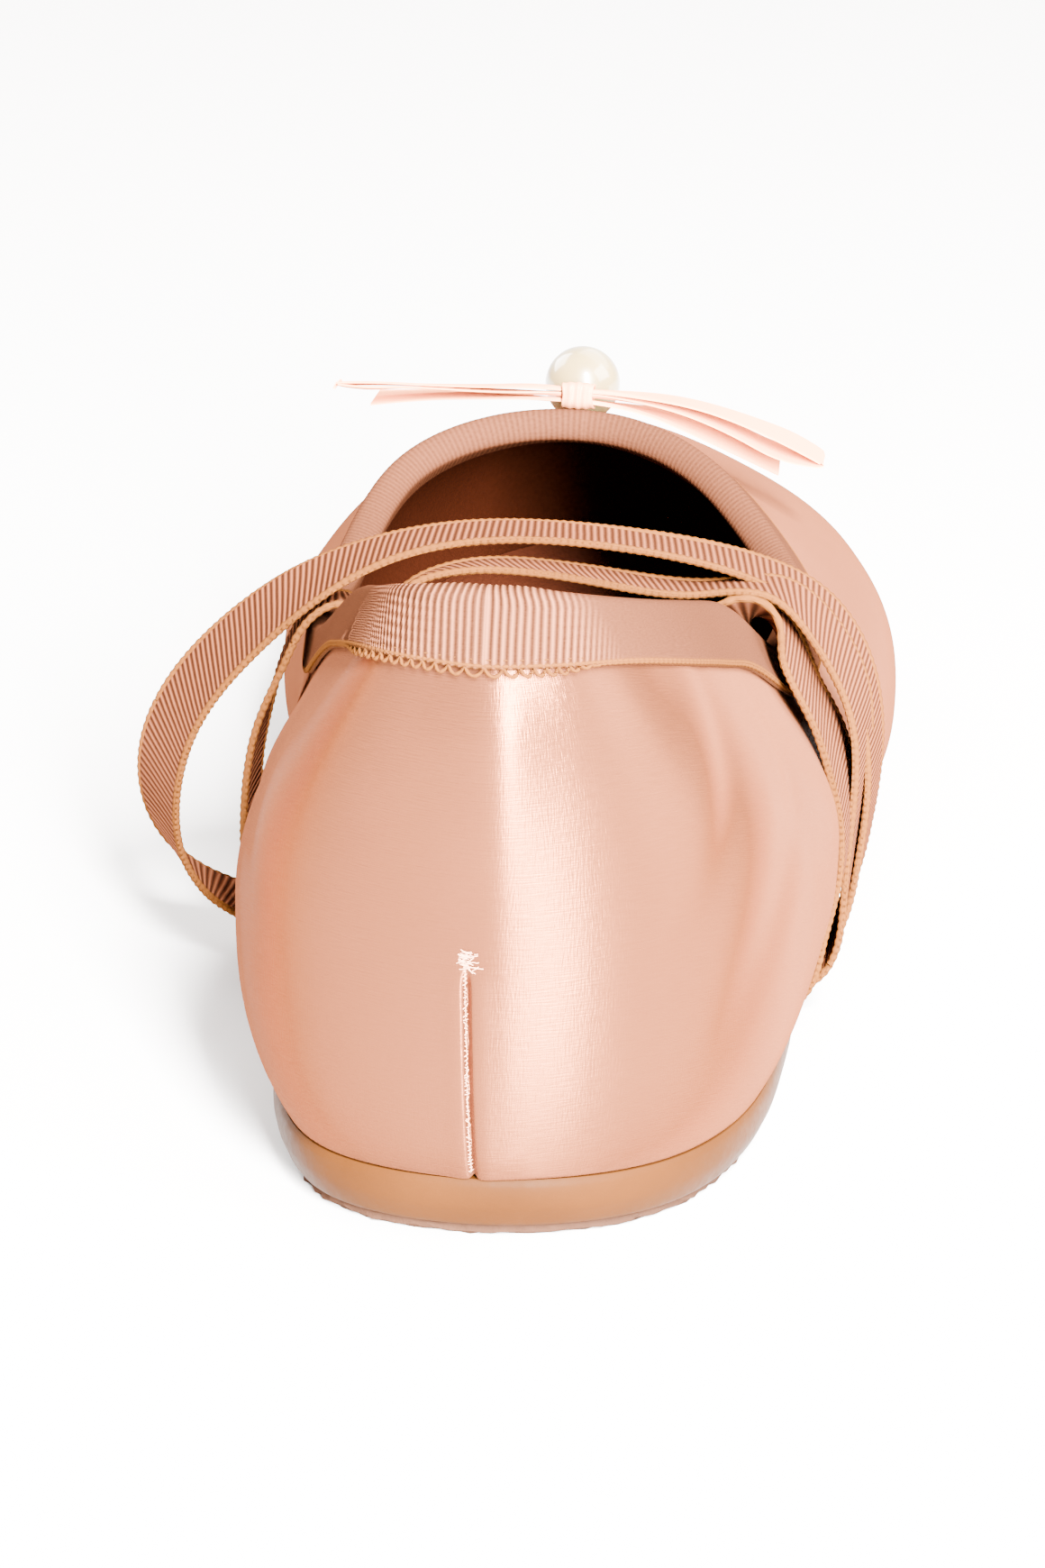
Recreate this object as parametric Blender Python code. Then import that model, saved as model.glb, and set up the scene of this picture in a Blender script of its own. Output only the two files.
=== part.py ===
"""Satin ballet flat, right shoe: upper, binding, sole with heel lift, insole, ribbons, bow and pearl.

Metres, +Z up, toe towards +Y, outer side of the foot towards +X. Heel and forefoot stand on z = 0.
"""
import math

import bpy
import numpy as np

# Driving dimensions
LENGTH = 0.245
BALL_WIDTH = 0.0846
HEEL_WIDTH = 0.0585
BACK_HEIGHT = 0.0645
SIDE_HEIGHT = 0.0335
THROAT_HEIGHT = 0.0473
FEATHER_INSET = 0.0045
WALL = 0.002
GAP = 0.0003

# Sole unit
HEEL_HEIGHT = 0.007
HEEL_LENGTH = 0.0527
BREAST_RUN = 0.006
SOLE_THICKNESS = 0.003
ARCH_RISE = 0.0056
TOE_SPRING = 0.0075
LIFT_THICKNESS = 0.0012
EDGE_ROUND = 0.0014
INSOLE_THICKNESS = 0.0018
INSOLE_ROOM = 0.0005

# Grosgrain binding on the collar edge
BINDING_OUTSIDE = 0.0073
BINDING_INSIDE = 0.0055
BINDING_THICKNESS = 0.0008

# Ribbons: two ankle ribbons wrapped round the waist, a flat bow at the throat
MILLIMETRE = 0.001
ANKLE_WIDTH = 0.015
ANKLE_THICKNESS = 0.0005
BOW_WIDTH = 0.007
BOW_THICKNESS = 0.00035
KNOT_WIDTH = 0.0044
KNOT_ALONG_SHARE = 0.6649
KNOT_ACROSS = -0.0012
KNOT_UP = 0.0008
KNOT_ROOM = 0.00045
PEARL_RADIUS = 0.0051
PEARL_FORWARD = 0.0085
PEARL_UP = 0.0011
PEARL_SEAT = 0.0035
PEARL_LEAN = 0.27

# The lower wall as shares: its swing out and up at the feather edge, its drop below the widest line
FOOT_OUT_SHARE = 0.9
FOOT_UP_SHARE = 0.27
WIDEST_DROP_SHARE = 0.4

# Columns round the shoe, rows up the wall, points along the ribbons
AROUND = 80
UPPER_ROWS = 15
ROW_CROWDING = 1.4
FINE_ROWS = 60
LOW_PART = 1 / 3
FEATHER_POINTS = 720
END_STATIONS = 26
INNER_RIBBON_STEPS = 112
OUTER_RIBBON_STEPS = 64
LOOP_STEPS = 72
TAIL_STEPS = 28
PEARL_RINGS = 12
PEARL_COLUMNS = 20

# Sections of the last, clockwise from the heel. Lengths are shares: x of the named width, along of the
# length, up of the named height above the sole, inset of the feather inset. rise and reach shape the wall.
SECTION_COLUMNS = ("name", "width", "wide_x", "wide_along", "height", "wide_up", "inset",
                   "top_x", "top_along", "top_up", "rise", "slope", "reach")
SECTIONS = [
    ("heel_back", "heel", 0.0, 0.0, "back", 0.37, 0.97, 0.0, 0.012, 1.0, 0.46, 70, 0.35),
    ("heel_corner_out", "heel", 0.387, 0.031, "back", 0.375, 1.15, 0.17, 0.026, 0.981, 0.47, 64, 0.35),
    ("heel_side_out", "heel", 0.528, 0.096, "back", 0.35, 0.85, 0.288, 0.088, 0.908, 0.47, 65, 0.35),
    ("seat_out", "heel", 0.599, 0.188, "back", 0.3, 0.9, 0.368, 0.192, 0.783, 0.44, 70, 0.35),
    ("waist_out", "ball", 0.445, 0.335, "side", 0.475, 0.95, 0.327, 0.298, 1.104, 0.46, 72, 0.35),
    ("instep_out", "ball", 0.464, 0.482, "side", 0.352, 0.89, 0.361, 0.412, 0.994, 0.5, 62, 0.4),
    ("ball_out", "ball", 0.512, 0.645, "side", 0.34, 1.0, 0.337, 0.514, 1.045, 0.58, 42, 0.45),
    ("joint_out", "ball", 0.444, 0.808, "throat", 0.224, 1.0, 0.234, 0.596, 0.894, 0.62, 32, 0.5),
    ("toe_out", "ball", 0.259, 0.943, "throat", 0.15, 0.85, 0.109, 0.643, 0.98, 0.58, 24, 0.5),
    ("toe_tip", "ball", -0.047, 1.0, "throat", 0.14, 0.7, -0.012, 0.657, 1.0, 0.62, 18, 0.46),
    ("toe_in", "ball", -0.325, 0.939, "throat", 0.15, 0.85, -0.151, 0.643, 0.987, 0.58, 24, 0.5),
    ("joint_in", "ball", -0.453, 0.824, "throat", 0.224, 1.0, -0.284, 0.596, 0.894, 0.5, 35, 0.45),
    ("ball_in", "ball", -0.488, 0.7, "side", 0.34, 1.0, -0.331, 0.514, 1.045, 0.5, 46, 0.45),
    ("instep_in", "ball", -0.402, 0.506, "side", 0.376, 0.89, -0.337, 0.412, 0.994, 0.5, 62, 0.4),
    ("waist_in", "ball", -0.361, 0.343, "side", 0.505, 0.95, -0.293, 0.298, 1.104, 0.44, 74, 0.35),
    ("seat_in", "heel", -0.522, 0.188, "back", 0.29, 1.1, -0.292, 0.192, 0.783, 0.38, 66, 0.35),
    ("heel_side_in", "heel", -0.472, 0.092, "back", 0.345, 1.02, -0.213, 0.09, 0.908, 0.4, 62, 0.35),
    ("heel_corner_in", "heel", -0.34, 0.031, "back", 0.375, 0.88, -0.149, 0.029, 0.981, 0.45, 64, 0.35),
]

# Underside of the sole sheet without its heel: shares of the heel's step, the arch rise and the toe spring
WALK_COLUMNS = ("along", "heel", "arch", "spring")
WALK_LINE = [
    (0.0, 1.0, 0.0, 0.0),
    (0.14, 1.0, 0.0, 0.0),
    (0.245, 0.7, 0.43, 0.0),
    (0.367, 0.0, 1.0, 0.0),
    (0.49, 0.0, 0.57, 0.0),
    (0.59, 0.0, 0.1, 0.0),
    (0.65, 0.0, 0.0, 0.0),
    (0.765, 0.0, 0.0, 0.0),
    (0.83, 0.0, 0.0, 0.13),
    (0.918, 0.0, 0.0, 0.5),
    (1.0, 0.0, 0.0, 1.0),
]

# Side of the sole from its top edge down: out as a share of the edge round, down as a share of its depth
SOLE_EDGE = [(0.0, 0.0), (0.32, 0.2), (0.32, 0.5), (-0.1, 0.8), (-0.5, 1.0)]


# Middle lines of the ankle ribbons in millimetres, laid by hand: across the shoe, along from the heel's
# back, up from the floor, then how the ribbon's width leans across and up for each part along the shoe
RIBBON_COLUMNS = ("x", "along", "z", "lean_x", "lean_z")
OUTER_RIBBON = [
    (29.0, 65.6, 35.5, 0.0, -0.3),
    (26.1, 65.8, 40.5, 0.05, -0.4),
    (22.6, 66.2, 45.6, 0.2, -0.5),
    (22.1, 66.6, 50.1, 0.3, -0.5),
    (25.7, 67.0, 52.1, 0.3, -0.5),
    (29.5, 67.6, 48.5, 0.3, -0.4),
    (32.7, 68.2, 42.1, 0.15, -0.2),
    (35.9, 69.0, 35.5, 0.12, 0.0),
    (38.2, 69.6, 28.5, 0.1, 0.0),
    (38.7, 70.2, 20.5, 0.08, 0.0),
    (37.5, 70.8, 13.0, 0.06, 0.0),
    (35.6, 71.5, 7.0, 0.04, 0.0),
    (30.0, 72.3, 3.8, 0.0, 0.0),
    (18.9, 73.2, 3.5, 0.0, 0.0),
    (6.3, 74.1, 3.4, 0.0, 0.0),
    (-7.0, 75.0, 3.4, 0.0, 0.0),
    (-18.8, 76.0, 3.5, 0.0, 0.0),
    (-27.3, 76.8, 4.9, 0.0, 0.0),
    (-32.3, 77.4, 10.0, 0.0, 0.0),
    (-33.8, 78.0, 18.0, 0.0, 0.0),
    (-33.8, 78.7, 26.0, 0.0, 0.0),
    (-32.5, 79.5, 33.5, 0.0, -0.05),
    (-30.2, 80.5, 40.2, -0.1, -0.15),
    (-27.2, 81.4, 45.4, -0.12, -0.2),
    (-23.4, 82.0, 47.0, -0.12, -0.2),
    (-20.5, 82.4, 44.2, -0.12, -0.2),
    (-20.5, 82.7, 38.5, -0.05, -0.1),
    (-21.6, 82.9, 34.0, -0.05, 0.0),
]
INNER_RIBBON = [
    (-25.4, 65.4, 34.0, 0.0, -0.3),
    (-22.0, 65.6, 40.0, -0.05, -0.4),
    (-18.3, 65.9, 46.0, -0.2, -0.4),
    (-15.2, 68.4, 52.2, -0.1, -0.25),
    (-9.2, 70.6, 54.7, 0.0, -0.15),
    (-0.4, 72.6, 54.7, 0.0, -0.12),
    (9.5, 74.2, 53.2, 0.05, -0.1),
    (19.0, 75.4, 52.3, 0.1, -0.1),
    (27.4, 76.2, 52.3, 0.15, -0.12),
    (33.9, 76.8, 46.9, 0.15, -0.08),
    (38.7, 77.2, 38.3, 0.12, 0.0),
    (40.7, 77.7, 27.5, 0.1, 0.0),
    (40.3, 78.2, 16.5, 0.06, 0.0),
    (37.0, 79.1, 6.4, 0.0, 0.0),
    (29.2, 80.4, 2.8, 0.0, 0.0),
    (14.6, 81.8, 2.2, 0.0, 0.0),
    (-2.0, 82.8, 2.2, 0.0, 0.0),
    (-16.9, 83.6, 2.2, 0.0, 0.0),
    (-27.3, 84.6, 3.3, 0.0, 0.0),
    (-33.4, 86.0, 5.8, -0.05, -0.06),
    (-40.2, 86.6, 8.6, -0.2, -0.1),
    (-45.0, 86.0, 14.2, -0.4, -0.05),
    (-46.2, 85.0, 22.0, -0.5, 0.08),
    (-43.4, 84.0, 31.6, -0.4, 0.15),
    (-35.8, 83.2, 41.6, -0.2, 0.2),
    (-26.8, 83.0, 48.9, -0.1, 0.15),
    (-16.5, 83.2, 53.8, 0.0, 0.1),
    (-3.6, 83.8, 55.8, 0.0, 0.05),
    (9.4, 84.5, 55.2, 0.05, 0.0),
    (21.5, 85.1, 53.2, 0.1, -0.04),
    (31.8, 85.6, 48.6, 0.12, -0.04),
    (38.9, 86.0, 39.6, 0.12, 0.0),
    (42.2, 86.2, 29.2, 0.1, 0.0),
    (42.3, 86.3, 17.8, 0.08, 0.0),
    (38.4, 86.6, 7.2, 0.04, 0.0),
    (30.4, 87.6, 1.9, 0.0, 0.0),
    (15.6, 89.0, 1.0, 0.0, 0.0),
    (-0.8, 90.2, 0.9, 0.0, 0.0),
    (-15.0, 91.0, 0.9, 0.0, 0.0),
]

# The bow as shares of its width: side and forward and up from the knot, lean of the width, its fullness
BOW_COLUMNS = ("side", "forward", "up", "lean", "full")
BOW_LOOPS = [
    (0.0, 0.0, 0.2, -0.25, 0.55),
    (1.0, 0.1, 0.25, -0.1, 0.8),
    (2.4, 0.26, 0.11, 0.2, 1.0),
    (3.7, 0.36, -0.27, 0.4, 1.0),
    (4.55, 0.4, -0.67, 0.42, 0.95),
    (4.74, 0.4, -0.89, 0.42, 0.95),
    (4.4, 0.38, -0.93, 0.42, 0.95),
    (3.3, 0.32, -0.56, 0.36, 1.0),
    (1.8, 0.2, -0.13, 0.15, 0.95),
    (0.8, 0.06, 0.05, -0.1, 0.72),
    (0.0, 0.0, 0.105, -0.25, 0.55),
    (-1.0, 0.1, 0.08, -0.15, 0.8),
    (-2.3, 0.24, 0.02, 0.0, 1.0),
    (-3.6, 0.34, -0.08, 0.06, 1.0),
    (-4.5, 0.36, -0.13, 0.06, 0.95),
    (-4.72, 0.36, -0.02, 0.06, 0.95),
    (-4.4, 0.36, 0.11, 0.06, 0.95),
    (-3.2, 0.32, 0.27, 0.04, 1.0),
    (-1.7, 0.18, 0.37, -0.1, 0.92),
    (-0.7, 0.05, 0.27, -0.2, 0.7),
]
BOW_TAILS = [
    (-4.0, 0.75, -0.3, 0.05, 0.95),
    (-2.8, 0.6, -0.16, -0.05, 0.95),
    (-1.3, 0.25, -0.04, -0.15, 0.85),
    (0.0, 0.0, -0.01, -0.25, 0.55),
    (1.3, 0.2, -0.2, -0.05, 0.85),
    (2.7, 0.5, -0.68, 0.25, 0.95),
    (3.9, 0.7, -1.2, 0.4, 0.95),
]

# The knot's way round the pinched bow: shares of its half depth and of its height
KNOT_COLUMNS = ("forward", "high")
KNOT_TURN = [
    (-1.0, 0.0),
    (-0.92, 0.5),
    (-0.45, 0.5),
    (0.0, 0.5),
    (0.45, 0.5),
    (0.92, 0.5),
    (1.0, 0.0),
    (0.92, -0.5),
    (0.45, -0.5),
    (0.0, -0.5),
    (-0.45, -0.5),
    (-0.92, -0.5),
]


def column(table, columns, name):
    """One named column of a table as a list."""
    index = columns.index(name)
    return [row[index] for row in table]


def ring_curve(knots, values, at):
    """The closed smooth cubic through values at knots; the last knot closes the ring."""
    count = len(values)
    step = np.diff(knots)
    system = np.zeros((count, count))
    bend = np.zeros(count)
    for i in range(count):
        before = (i - 1) % count
        after = (i + 1) % count
        system[i, before] += step[before]
        system[i, i] += 2 * (step[before] + step[i])
        system[i, after] += step[i]
        bend[i] = 6 * ((values[after] - values[i]) / step[i] - (values[i] - values[before]) / step[before])
    moment = np.linalg.solve(system, bend)
    at = np.mod(at, knots[-1])
    i = np.clip(np.searchsorted(knots, at, "right") - 1, 0, count - 1)
    after = (i + 1) % count
    past = at - knots[i]
    left = knots[i + 1] - at
    curve = (moment[i] * left**3 + moment[after] * past**3) / (6 * step[i])
    curve += (values[i] / step[i] - moment[i] * step[i] / 6) * left
    return curve + (values[after] / step[i] - moment[after] * step[i] / 6) * past


def open_curve(places, at):
    """Points on the smooth cubic through a row of points, at shares of its length."""
    places = np.asarray(places, float)
    count = len(places)
    chord = np.linalg.norm(np.diff(places[:, :3], axis=0), axis=1)
    knots = np.concatenate([[0], np.cumsum(chord)])
    system = np.eye(count)
    bend = np.zeros(places.shape)
    for i in range(1, count - 1):
        system[i, i - 1] = chord[i - 1]
        system[i, i] = 2 * (chord[i - 1] + chord[i])
        system[i, i + 1] = chord[i]
        grade = (places[i + 1] - places[i]) / chord[i] - (places[i] - places[i - 1]) / chord[i - 1]
        bend[i] = 6 * grade
    moment = np.linalg.solve(system, bend)
    at = np.asarray(at) * knots[-1]
    i = np.clip(np.searchsorted(knots, at, "right") - 1, 0, count - 2)
    step = chord[i][:, None]
    past = (at - knots[i])[:, None]
    left = step - past
    curve = (moment[i] * left**3 + moment[i + 1] * past**3) / (6 * step)
    curve += (places[i] / step - moment[i] * step / 6) * left
    return curve + (places[i + 1] / step - moment[i + 1] * step / 6) * past


def smooth_line(places, values, at):
    """A smooth line through values that never swings past them."""
    places = np.asarray(places, float)
    values = np.asarray(values, float)
    run = np.diff(places)
    grade = np.diff(values) / run
    slope = np.zeros(len(places))
    same = grade[:-1] * grade[1:] > 0
    slope[1:-1][same] = 2 * grade[:-1][same] * grade[1:][same] / (grade[:-1] + grade[1:])[same]
    slope[-1] = grade[-1]
    at = np.clip(at, places[0], places[-1])
    i = np.clip(np.searchsorted(places, at, "right") - 1, 0, len(places) - 2)
    t = (at - places[i]) / run[i]
    start = (2 * t**3 - 3 * t**2 + 1) * values[i] + (t**3 - 2 * t**2 + t) * run[i] * slope[i]
    end = (3 * t**2 - 2 * t**3) * values[i + 1] + (t**3 - t**2) * run[i] * slope[i + 1]
    return start + end


def walk_height(y):
    """Height of the sheet's underside at y, before the heel is added."""
    sizes = {"heel": HEEL_HEIGHT - SOLE_THICKNESS, "arch": ARCH_RISE, "spring": TOE_SPRING}
    height = sum(np.array(column(WALK_LINE, WALK_COLUMNS, name)) * size for name, size in sizes.items())
    return smooth_line(column(WALK_LINE, WALK_COLUMNS, "along"), height, y / LENGTH + 0.5)


def sole_top(y):
    """Height of the sole's top face at y."""
    return walk_height(y) + SOLE_THICKNESS


def sole_under(y):
    """Height of the sole's underside at y, with the heel down to its lift."""
    past_breast = (y + LENGTH / 2 - HEEL_LENGTH) / BREAST_RUN
    share = np.clip(past_breast, 0, 1)
    return (1 - share) * (LIFT_THICKNESS + GAP) + share * walk_height(y)


def bezier(a, b, c, d, t):
    """Point at t on a cubic Bezier curve."""
    return a * (1 - t)**3 + b * 3 * t * (1 - t)**2 + c * 3 * t * t * (1 - t) + d * t**3


def last_sections(around):
    """The last's own lines at evenly spread columns: feather edge, widest line, topline and wall shape."""
    widths = {"heel": HEEL_WIDTH, "ball": BALL_WIDTH}
    heights = {"back": BACK_HEIGHT, "side": SIDE_HEIGHT, "throat": THROAT_HEIGHT}
    get = {name: column(SECTIONS, SECTION_COLUMNS, name) for name in SECTION_COLUMNS}
    width = np.array([widths[name] for name in get["width"]])
    height = np.array([heights[name] for name in get["height"]])
    lines = {
        "wide_x": width * get["wide_x"],
        "wide_y": (np.array(get["wide_along"]) - 0.5) * LENGTH,
        "wide_up": height * get["wide_up"],
        "inset": FEATHER_INSET * np.array(get["inset"]),
        "top_x": width * get["top_x"],
        "top_y": (np.array(get["top_along"]) - 0.5) * LENGTH,
        "top_up": height * get["top_up"],
        "rise": np.array(get["rise"]),
        "slope": np.radians(get["slope"]),
        "reach": np.array(get["reach"]),
    }
    chord = np.hypot(np.roll(lines["wide_x"], -1) - lines["wide_x"],
                     np.roll(lines["wide_y"], -1) - lines["wide_y"])
    knots = np.concatenate([[0], np.cumsum(chord)])
    at = np.arange(around) / around * knots[-1]
    return {name: ring_curve(knots, values, at) for name, values in lines.items()}


def plan_normals(x, y):
    """Outward unit normals in plan of a closed line that runs from the outer side over the toe."""
    along = np.stack([np.roll(x, -1) - np.roll(x, 1), np.roll(y, -1) - np.roll(y, 1)], 1)
    along /= np.linalg.norm(along, axis=1)[:, None]
    return np.stack([along[:, 1], -along[:, 0]], 1)


def last_surface(around, rows):
    """Points of the upper's outer face, rows from the feather edge up to the topline, and plan normals."""
    line = last_sections(around)
    out = plan_normals(line["wide_x"], line["wide_y"])
    feather_x = line["wide_x"] - out[:, 0] * line["inset"]
    feather_y = line["wide_y"] - out[:, 1] * line["inset"]
    feather = np.stack([feather_x, feather_y, sole_top(feather_y) + GAP], 1)
    widest = np.stack([line["wide_x"], line["wide_y"], sole_top(line["wide_y"]) + line["wide_up"]], 1)
    top = np.stack([line["top_x"], line["top_y"], sole_top(line["top_y"]) + line["top_up"]], 1)
    up = np.array([0, 0, 1.0])
    low = (widest - feather)[:, 2:]
    high = (top - widest)[:, 2:]
    inward = (top - widest)[:, :2]
    inward /= np.linalg.norm(inward, axis=1)[:, None]
    arrive = np.concatenate([inward * np.cos(line["slope"])[:, None], np.sin(line["slope"])[:, None]], 1)
    span = np.linalg.norm(top - widest, axis=1)
    foot = np.concatenate([out * (line["inset"] * FOOT_OUT_SHARE)[:, None], low * FOOT_UP_SHARE], 1)
    low_curve = (feather, feather + foot, widest - up * low * WIDEST_DROP_SHARE, widest)
    high_curve = (widest, widest + up * high * line["rise"][:, None],
                  top - arrive * (line["reach"] * span)[:, None], top)
    grid = []
    for share in np.linspace(0, 1, rows + 1):
        if share <= LOW_PART:
            grid.append(bezier(*low_curve, share / LOW_PART))
        else:
            grid.append(bezier(*high_curve, (share - LOW_PART) / (1 - LOW_PART)))
    return np.array(grid), out


def surface_normals(grid):
    """Outward unit normals of a grid of rows up the wall by columns round the shoe."""
    around = np.roll(grid, -1, axis=1) - np.roll(grid, 1, axis=1)
    upward = np.gradient(grid, axis=0)
    normal = np.cross(around, upward)
    return normal / np.linalg.norm(normal, axis=2)[..., None]


def make_material(name, colour, roughness, metallic=0.0):
    """A plain material of one colour."""
    material = bpy.data.materials.new(name)
    material.use_nodes = True
    shader = material.node_tree.nodes["Principled BSDF"]
    shader.inputs["Base Color"].default_value = (*colour, 1)
    shader.inputs["Roughness"].default_value = roughness
    shader.inputs["Metallic"].default_value = metallic
    return material


def make_object(name, points, faces, material, sharp=math.radians(40)):
    """One named object from points and faces, shaded smooth."""
    mesh = bpy.data.meshes.new(name)
    mesh.from_pydata([tuple(map(float, p)) for p in points], [], [tuple(map(int, f)) for f in faces])
    mesh.update()
    mesh.shade_smooth()
    mesh.set_sharp_from_angle(angle=sharp)
    mesh.materials.append(material)
    thing = bpy.data.objects.new(name, mesh)
    bpy.context.scene.collection.objects.link(thing)
    return thing


def closed_tube(loops, flip=False):
    """Faces between closed loops of equal length, the last joined to the first."""
    rings = len(loops)
    count = len(loops[0])
    faces = []
    for i in range(rings):
        for j in range(count):
            a = i * count + j
            b = i * count + (j + 1) % count
            c = (i + 1) % rings * count + (j + 1) % count
            d = (i + 1) % rings * count + j
            faces.append((a, d, c, b) if flip else (a, b, c, d))
    return np.concatenate(loops), faces


def fine_surface(around):
    """Outer face in fine rows from the topline down, its normals, and the distance below the topline."""
    grid, _ = last_surface(around, FINE_ROWS)
    normal = surface_normals(grid)[::-1]
    grid = grid[::-1]
    step = np.linalg.norm(np.diff(grid, axis=0), axis=2)
    depth = np.concatenate([np.zeros((1, around)), np.cumsum(step, axis=0)])
    return grid, normal, depth


def at_depth(surface, below, offset):
    """Loop round the shoe at distances below the topline, moved out from the outer face."""
    grid, normal, depth = surface
    below = np.broadcast_to(below, grid.shape[1])
    loop = np.zeros((grid.shape[1], 3))
    for j in range(grid.shape[1]):
        for k in range(3):
            place = np.interp(below[j], depth[:, j], grid[:, j, k])
            loop[j, k] = place + offset * np.interp(below[j], depth[:, j], normal[:, j, k])
    return loop


def wall_depths(surface):
    """Depths of the upper's rows: three under the binding, the rest spread down to the feather edge."""
    whole = surface[2][-1]
    under_binding = [0, BINDING_OUTSIDE / 2]
    spread = 1 - (1 - np.linspace(0, 1, UPPER_ROWS - 1))**ROW_CROWDING
    return under_binding + [BINDING_OUTSIDE + (whole - BINDING_OUTSIDE) * share for share in spread]


def make_upper(material):
    """The hollow satin upper: one wall, open at the collar and underneath."""
    surface = fine_surface(AROUND)
    out = last_surface(AROUND, 1)[1]
    depths = wall_depths(surface)
    outer = [at_depth(surface, below, 0) for below in depths]
    inner = [at_depth(surface, below, -WALL) for below in depths]
    inner[-1] = outer[-1] - np.concatenate([out * WALL, np.zeros((AROUND, 1))], 1)
    points, faces = closed_tube(outer[::-1] + inner)
    return make_object("upper", points, faces, material)


def make_binding(material):
    """Grosgrain folded over the collar edge, a U in section, all the way round."""
    surface = fine_surface(AROUND)
    grid = surface[0]
    skin = GAP + BINDING_THICKNESS
    middle = BINDING_OUTSIDE / 2
    upward = grid[0] - grid[1]
    upward /= np.linalg.norm(upward, axis=1)[:, None]

    def loop(below, offset, lift=0.0):
        return at_depth(surface, below, offset) + upward * lift

    loops = [
        loop(BINDING_OUTSIDE, skin),
        loop(middle, skin),
        loop(0, skin),
        loop(0, 0, skin),
        loop(0, -WALL, skin),
        loop(0, -WALL - skin),
        loop(middle, -WALL - skin),
        loop(BINDING_INSIDE, -WALL - skin),
        loop(BINDING_INSIDE, -WALL - GAP),
        loop(middle, -WALL - GAP),
        loop(0, -WALL - GAP, GAP),
        loop(0, GAP, GAP),
        loop(middle, GAP),
        loop(BINDING_OUTSIDE, GAP),
    ]
    points, faces = closed_tube(loops)
    return make_object("topline_binding", points, faces, material)


def deck_outline(inset, stations):
    """The feather outline moved inwards, as matched points of both sides at shares of its own length."""
    line = last_sections(FEATHER_POINTS)
    out = plan_normals(line["wide_x"], line["wide_y"])
    x = line["wide_x"] - out[:, 0] * (line["inset"] + inset)
    y = line["wide_y"] - out[:, 1] * (line["inset"] + inset)
    back = int(np.argmin(y))
    x = np.roll(x, -back)
    y = np.roll(y, -back)
    front = int(np.argmax(y))
    ys = y[0] + (y[front] - y[0]) * np.asarray(stations)
    outer_x = np.interp(ys, y[:front + 1], x[:front + 1])
    inner_x = np.interp(ys, np.append(y[front:], y[0])[::-1], np.append(x[front:], x[0])[::-1])
    return ys, outer_x, inner_x


def deck_stations(extra=(), end=1.0):
    """Shares of a deck's length, closer together at both ends."""
    spread = (1 - np.cos(np.linspace(0, math.pi, END_STATIONS + 1))) / 2
    kept = [share for share in spread if share < end and all(abs(share - e) > 0.006 for e in extra)]
    return np.array(sorted(kept + list(extra) + [end]))


def deck_ring(outline, height):
    """One closed loop of a deck: up the outer side, over the toe and back down the inner side."""
    ys, outer_x, inner_x = outline
    z = height(ys)
    pointed = abs(outer_x[-1] - inner_x[-1]) < 1e-6
    outer = np.stack([outer_x, ys, z], 1)
    inner = np.stack([inner_x, ys, z], 1)[::-1]
    return np.concatenate([outer, inner[1 if pointed else 0:-1]])


def deck_cap(first, count, stations, flip):
    """Faces that close a deck across, from each point to its match on the other side."""
    last = stations - 1
    pointed = count == 2 * last
    across = [first + (count - i) % count for i in range(stations)]
    if pointed:
        across[last] = first + last
    faces = []
    for i in range(last):
        ring = [first + i, first + i + 1, across[i + 1], across[i]]
        face = list(dict.fromkeys(ring))
        faces.append(face[::-1] if flip else face)
    return faces


def make_deck(name, layers, material):
    """A flat piece from rings listed from the top down, each an outline and a height over y."""
    rings = [deck_ring(outline, height) for outline, height in layers]
    stations = len(layers[0][0][0])
    count = len(rings[0])
    faces = []
    for i in range(len(rings) - 1):
        for j in range(count):
            a = i * count + j
            b = i * count + (j + 1) % count
            faces.append((a, a + count, b + count, b))
    faces += deck_cap(0, count, stations, False)
    faces += deck_cap((len(rings) - 1) * count, count, stations, True)
    return make_object(name, np.concatenate(rings), faces, material)


def make_sole(material):
    """Leather-covered sole in one unit with its low heel."""
    heel_front = HEEL_LENGTH / LENGTH
    stations = deck_stations((heel_front, heel_front + BREAST_RUN / LENGTH, 0.65, 0.765))
    layers = []
    for out, down in SOLE_EDGE:
        def height(y, down=down):
            return sole_top(y) * (1 - down) + sole_under(y) * down
        layers.append((deck_outline(-out * EDGE_ROUND, stations), height))
    return make_deck("sole", layers, material)


def make_lift(material):
    """Thin top piece under the heel."""
    edge = EDGE_ROUND + GAP
    stations = deck_stations(end=(HEEL_LENGTH - edge) / LENGTH)
    outline = deck_outline(edge, stations)
    layers = [(outline, lambda y: LIFT_THICKNESS + 0 * y), (outline, lambda y: 0 * y)]
    return make_deck("heel_lift", layers, material)


def make_insole(material):
    """Inner sole inside the upper's wall."""
    outline = deck_outline(WALL + INSOLE_ROOM, deck_stations())
    layers = [(outline, lambda y: sole_top(y) + GAP + INSOLE_THICKNESS), (outline, lambda y: sole_top(y) + GAP)]
    return make_deck("insole", layers, material)


def strip_section(middle, tangent, across, width, thickness):
    """The four corners of a ribbon at each of its points."""
    across = across - tangent * np.sum(across * tangent, axis=1)[:, None]
    across /= np.linalg.norm(across, axis=1)[:, None]
    face = np.cross(tangent, across)
    half = across * (np.broadcast_to(width, len(middle))[:, None] / 2)
    lift = face * (thickness / 2)
    return np.stack([middle - half - lift, middle + half - lift, middle + half + lift, middle - half + lift], 1)


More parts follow.
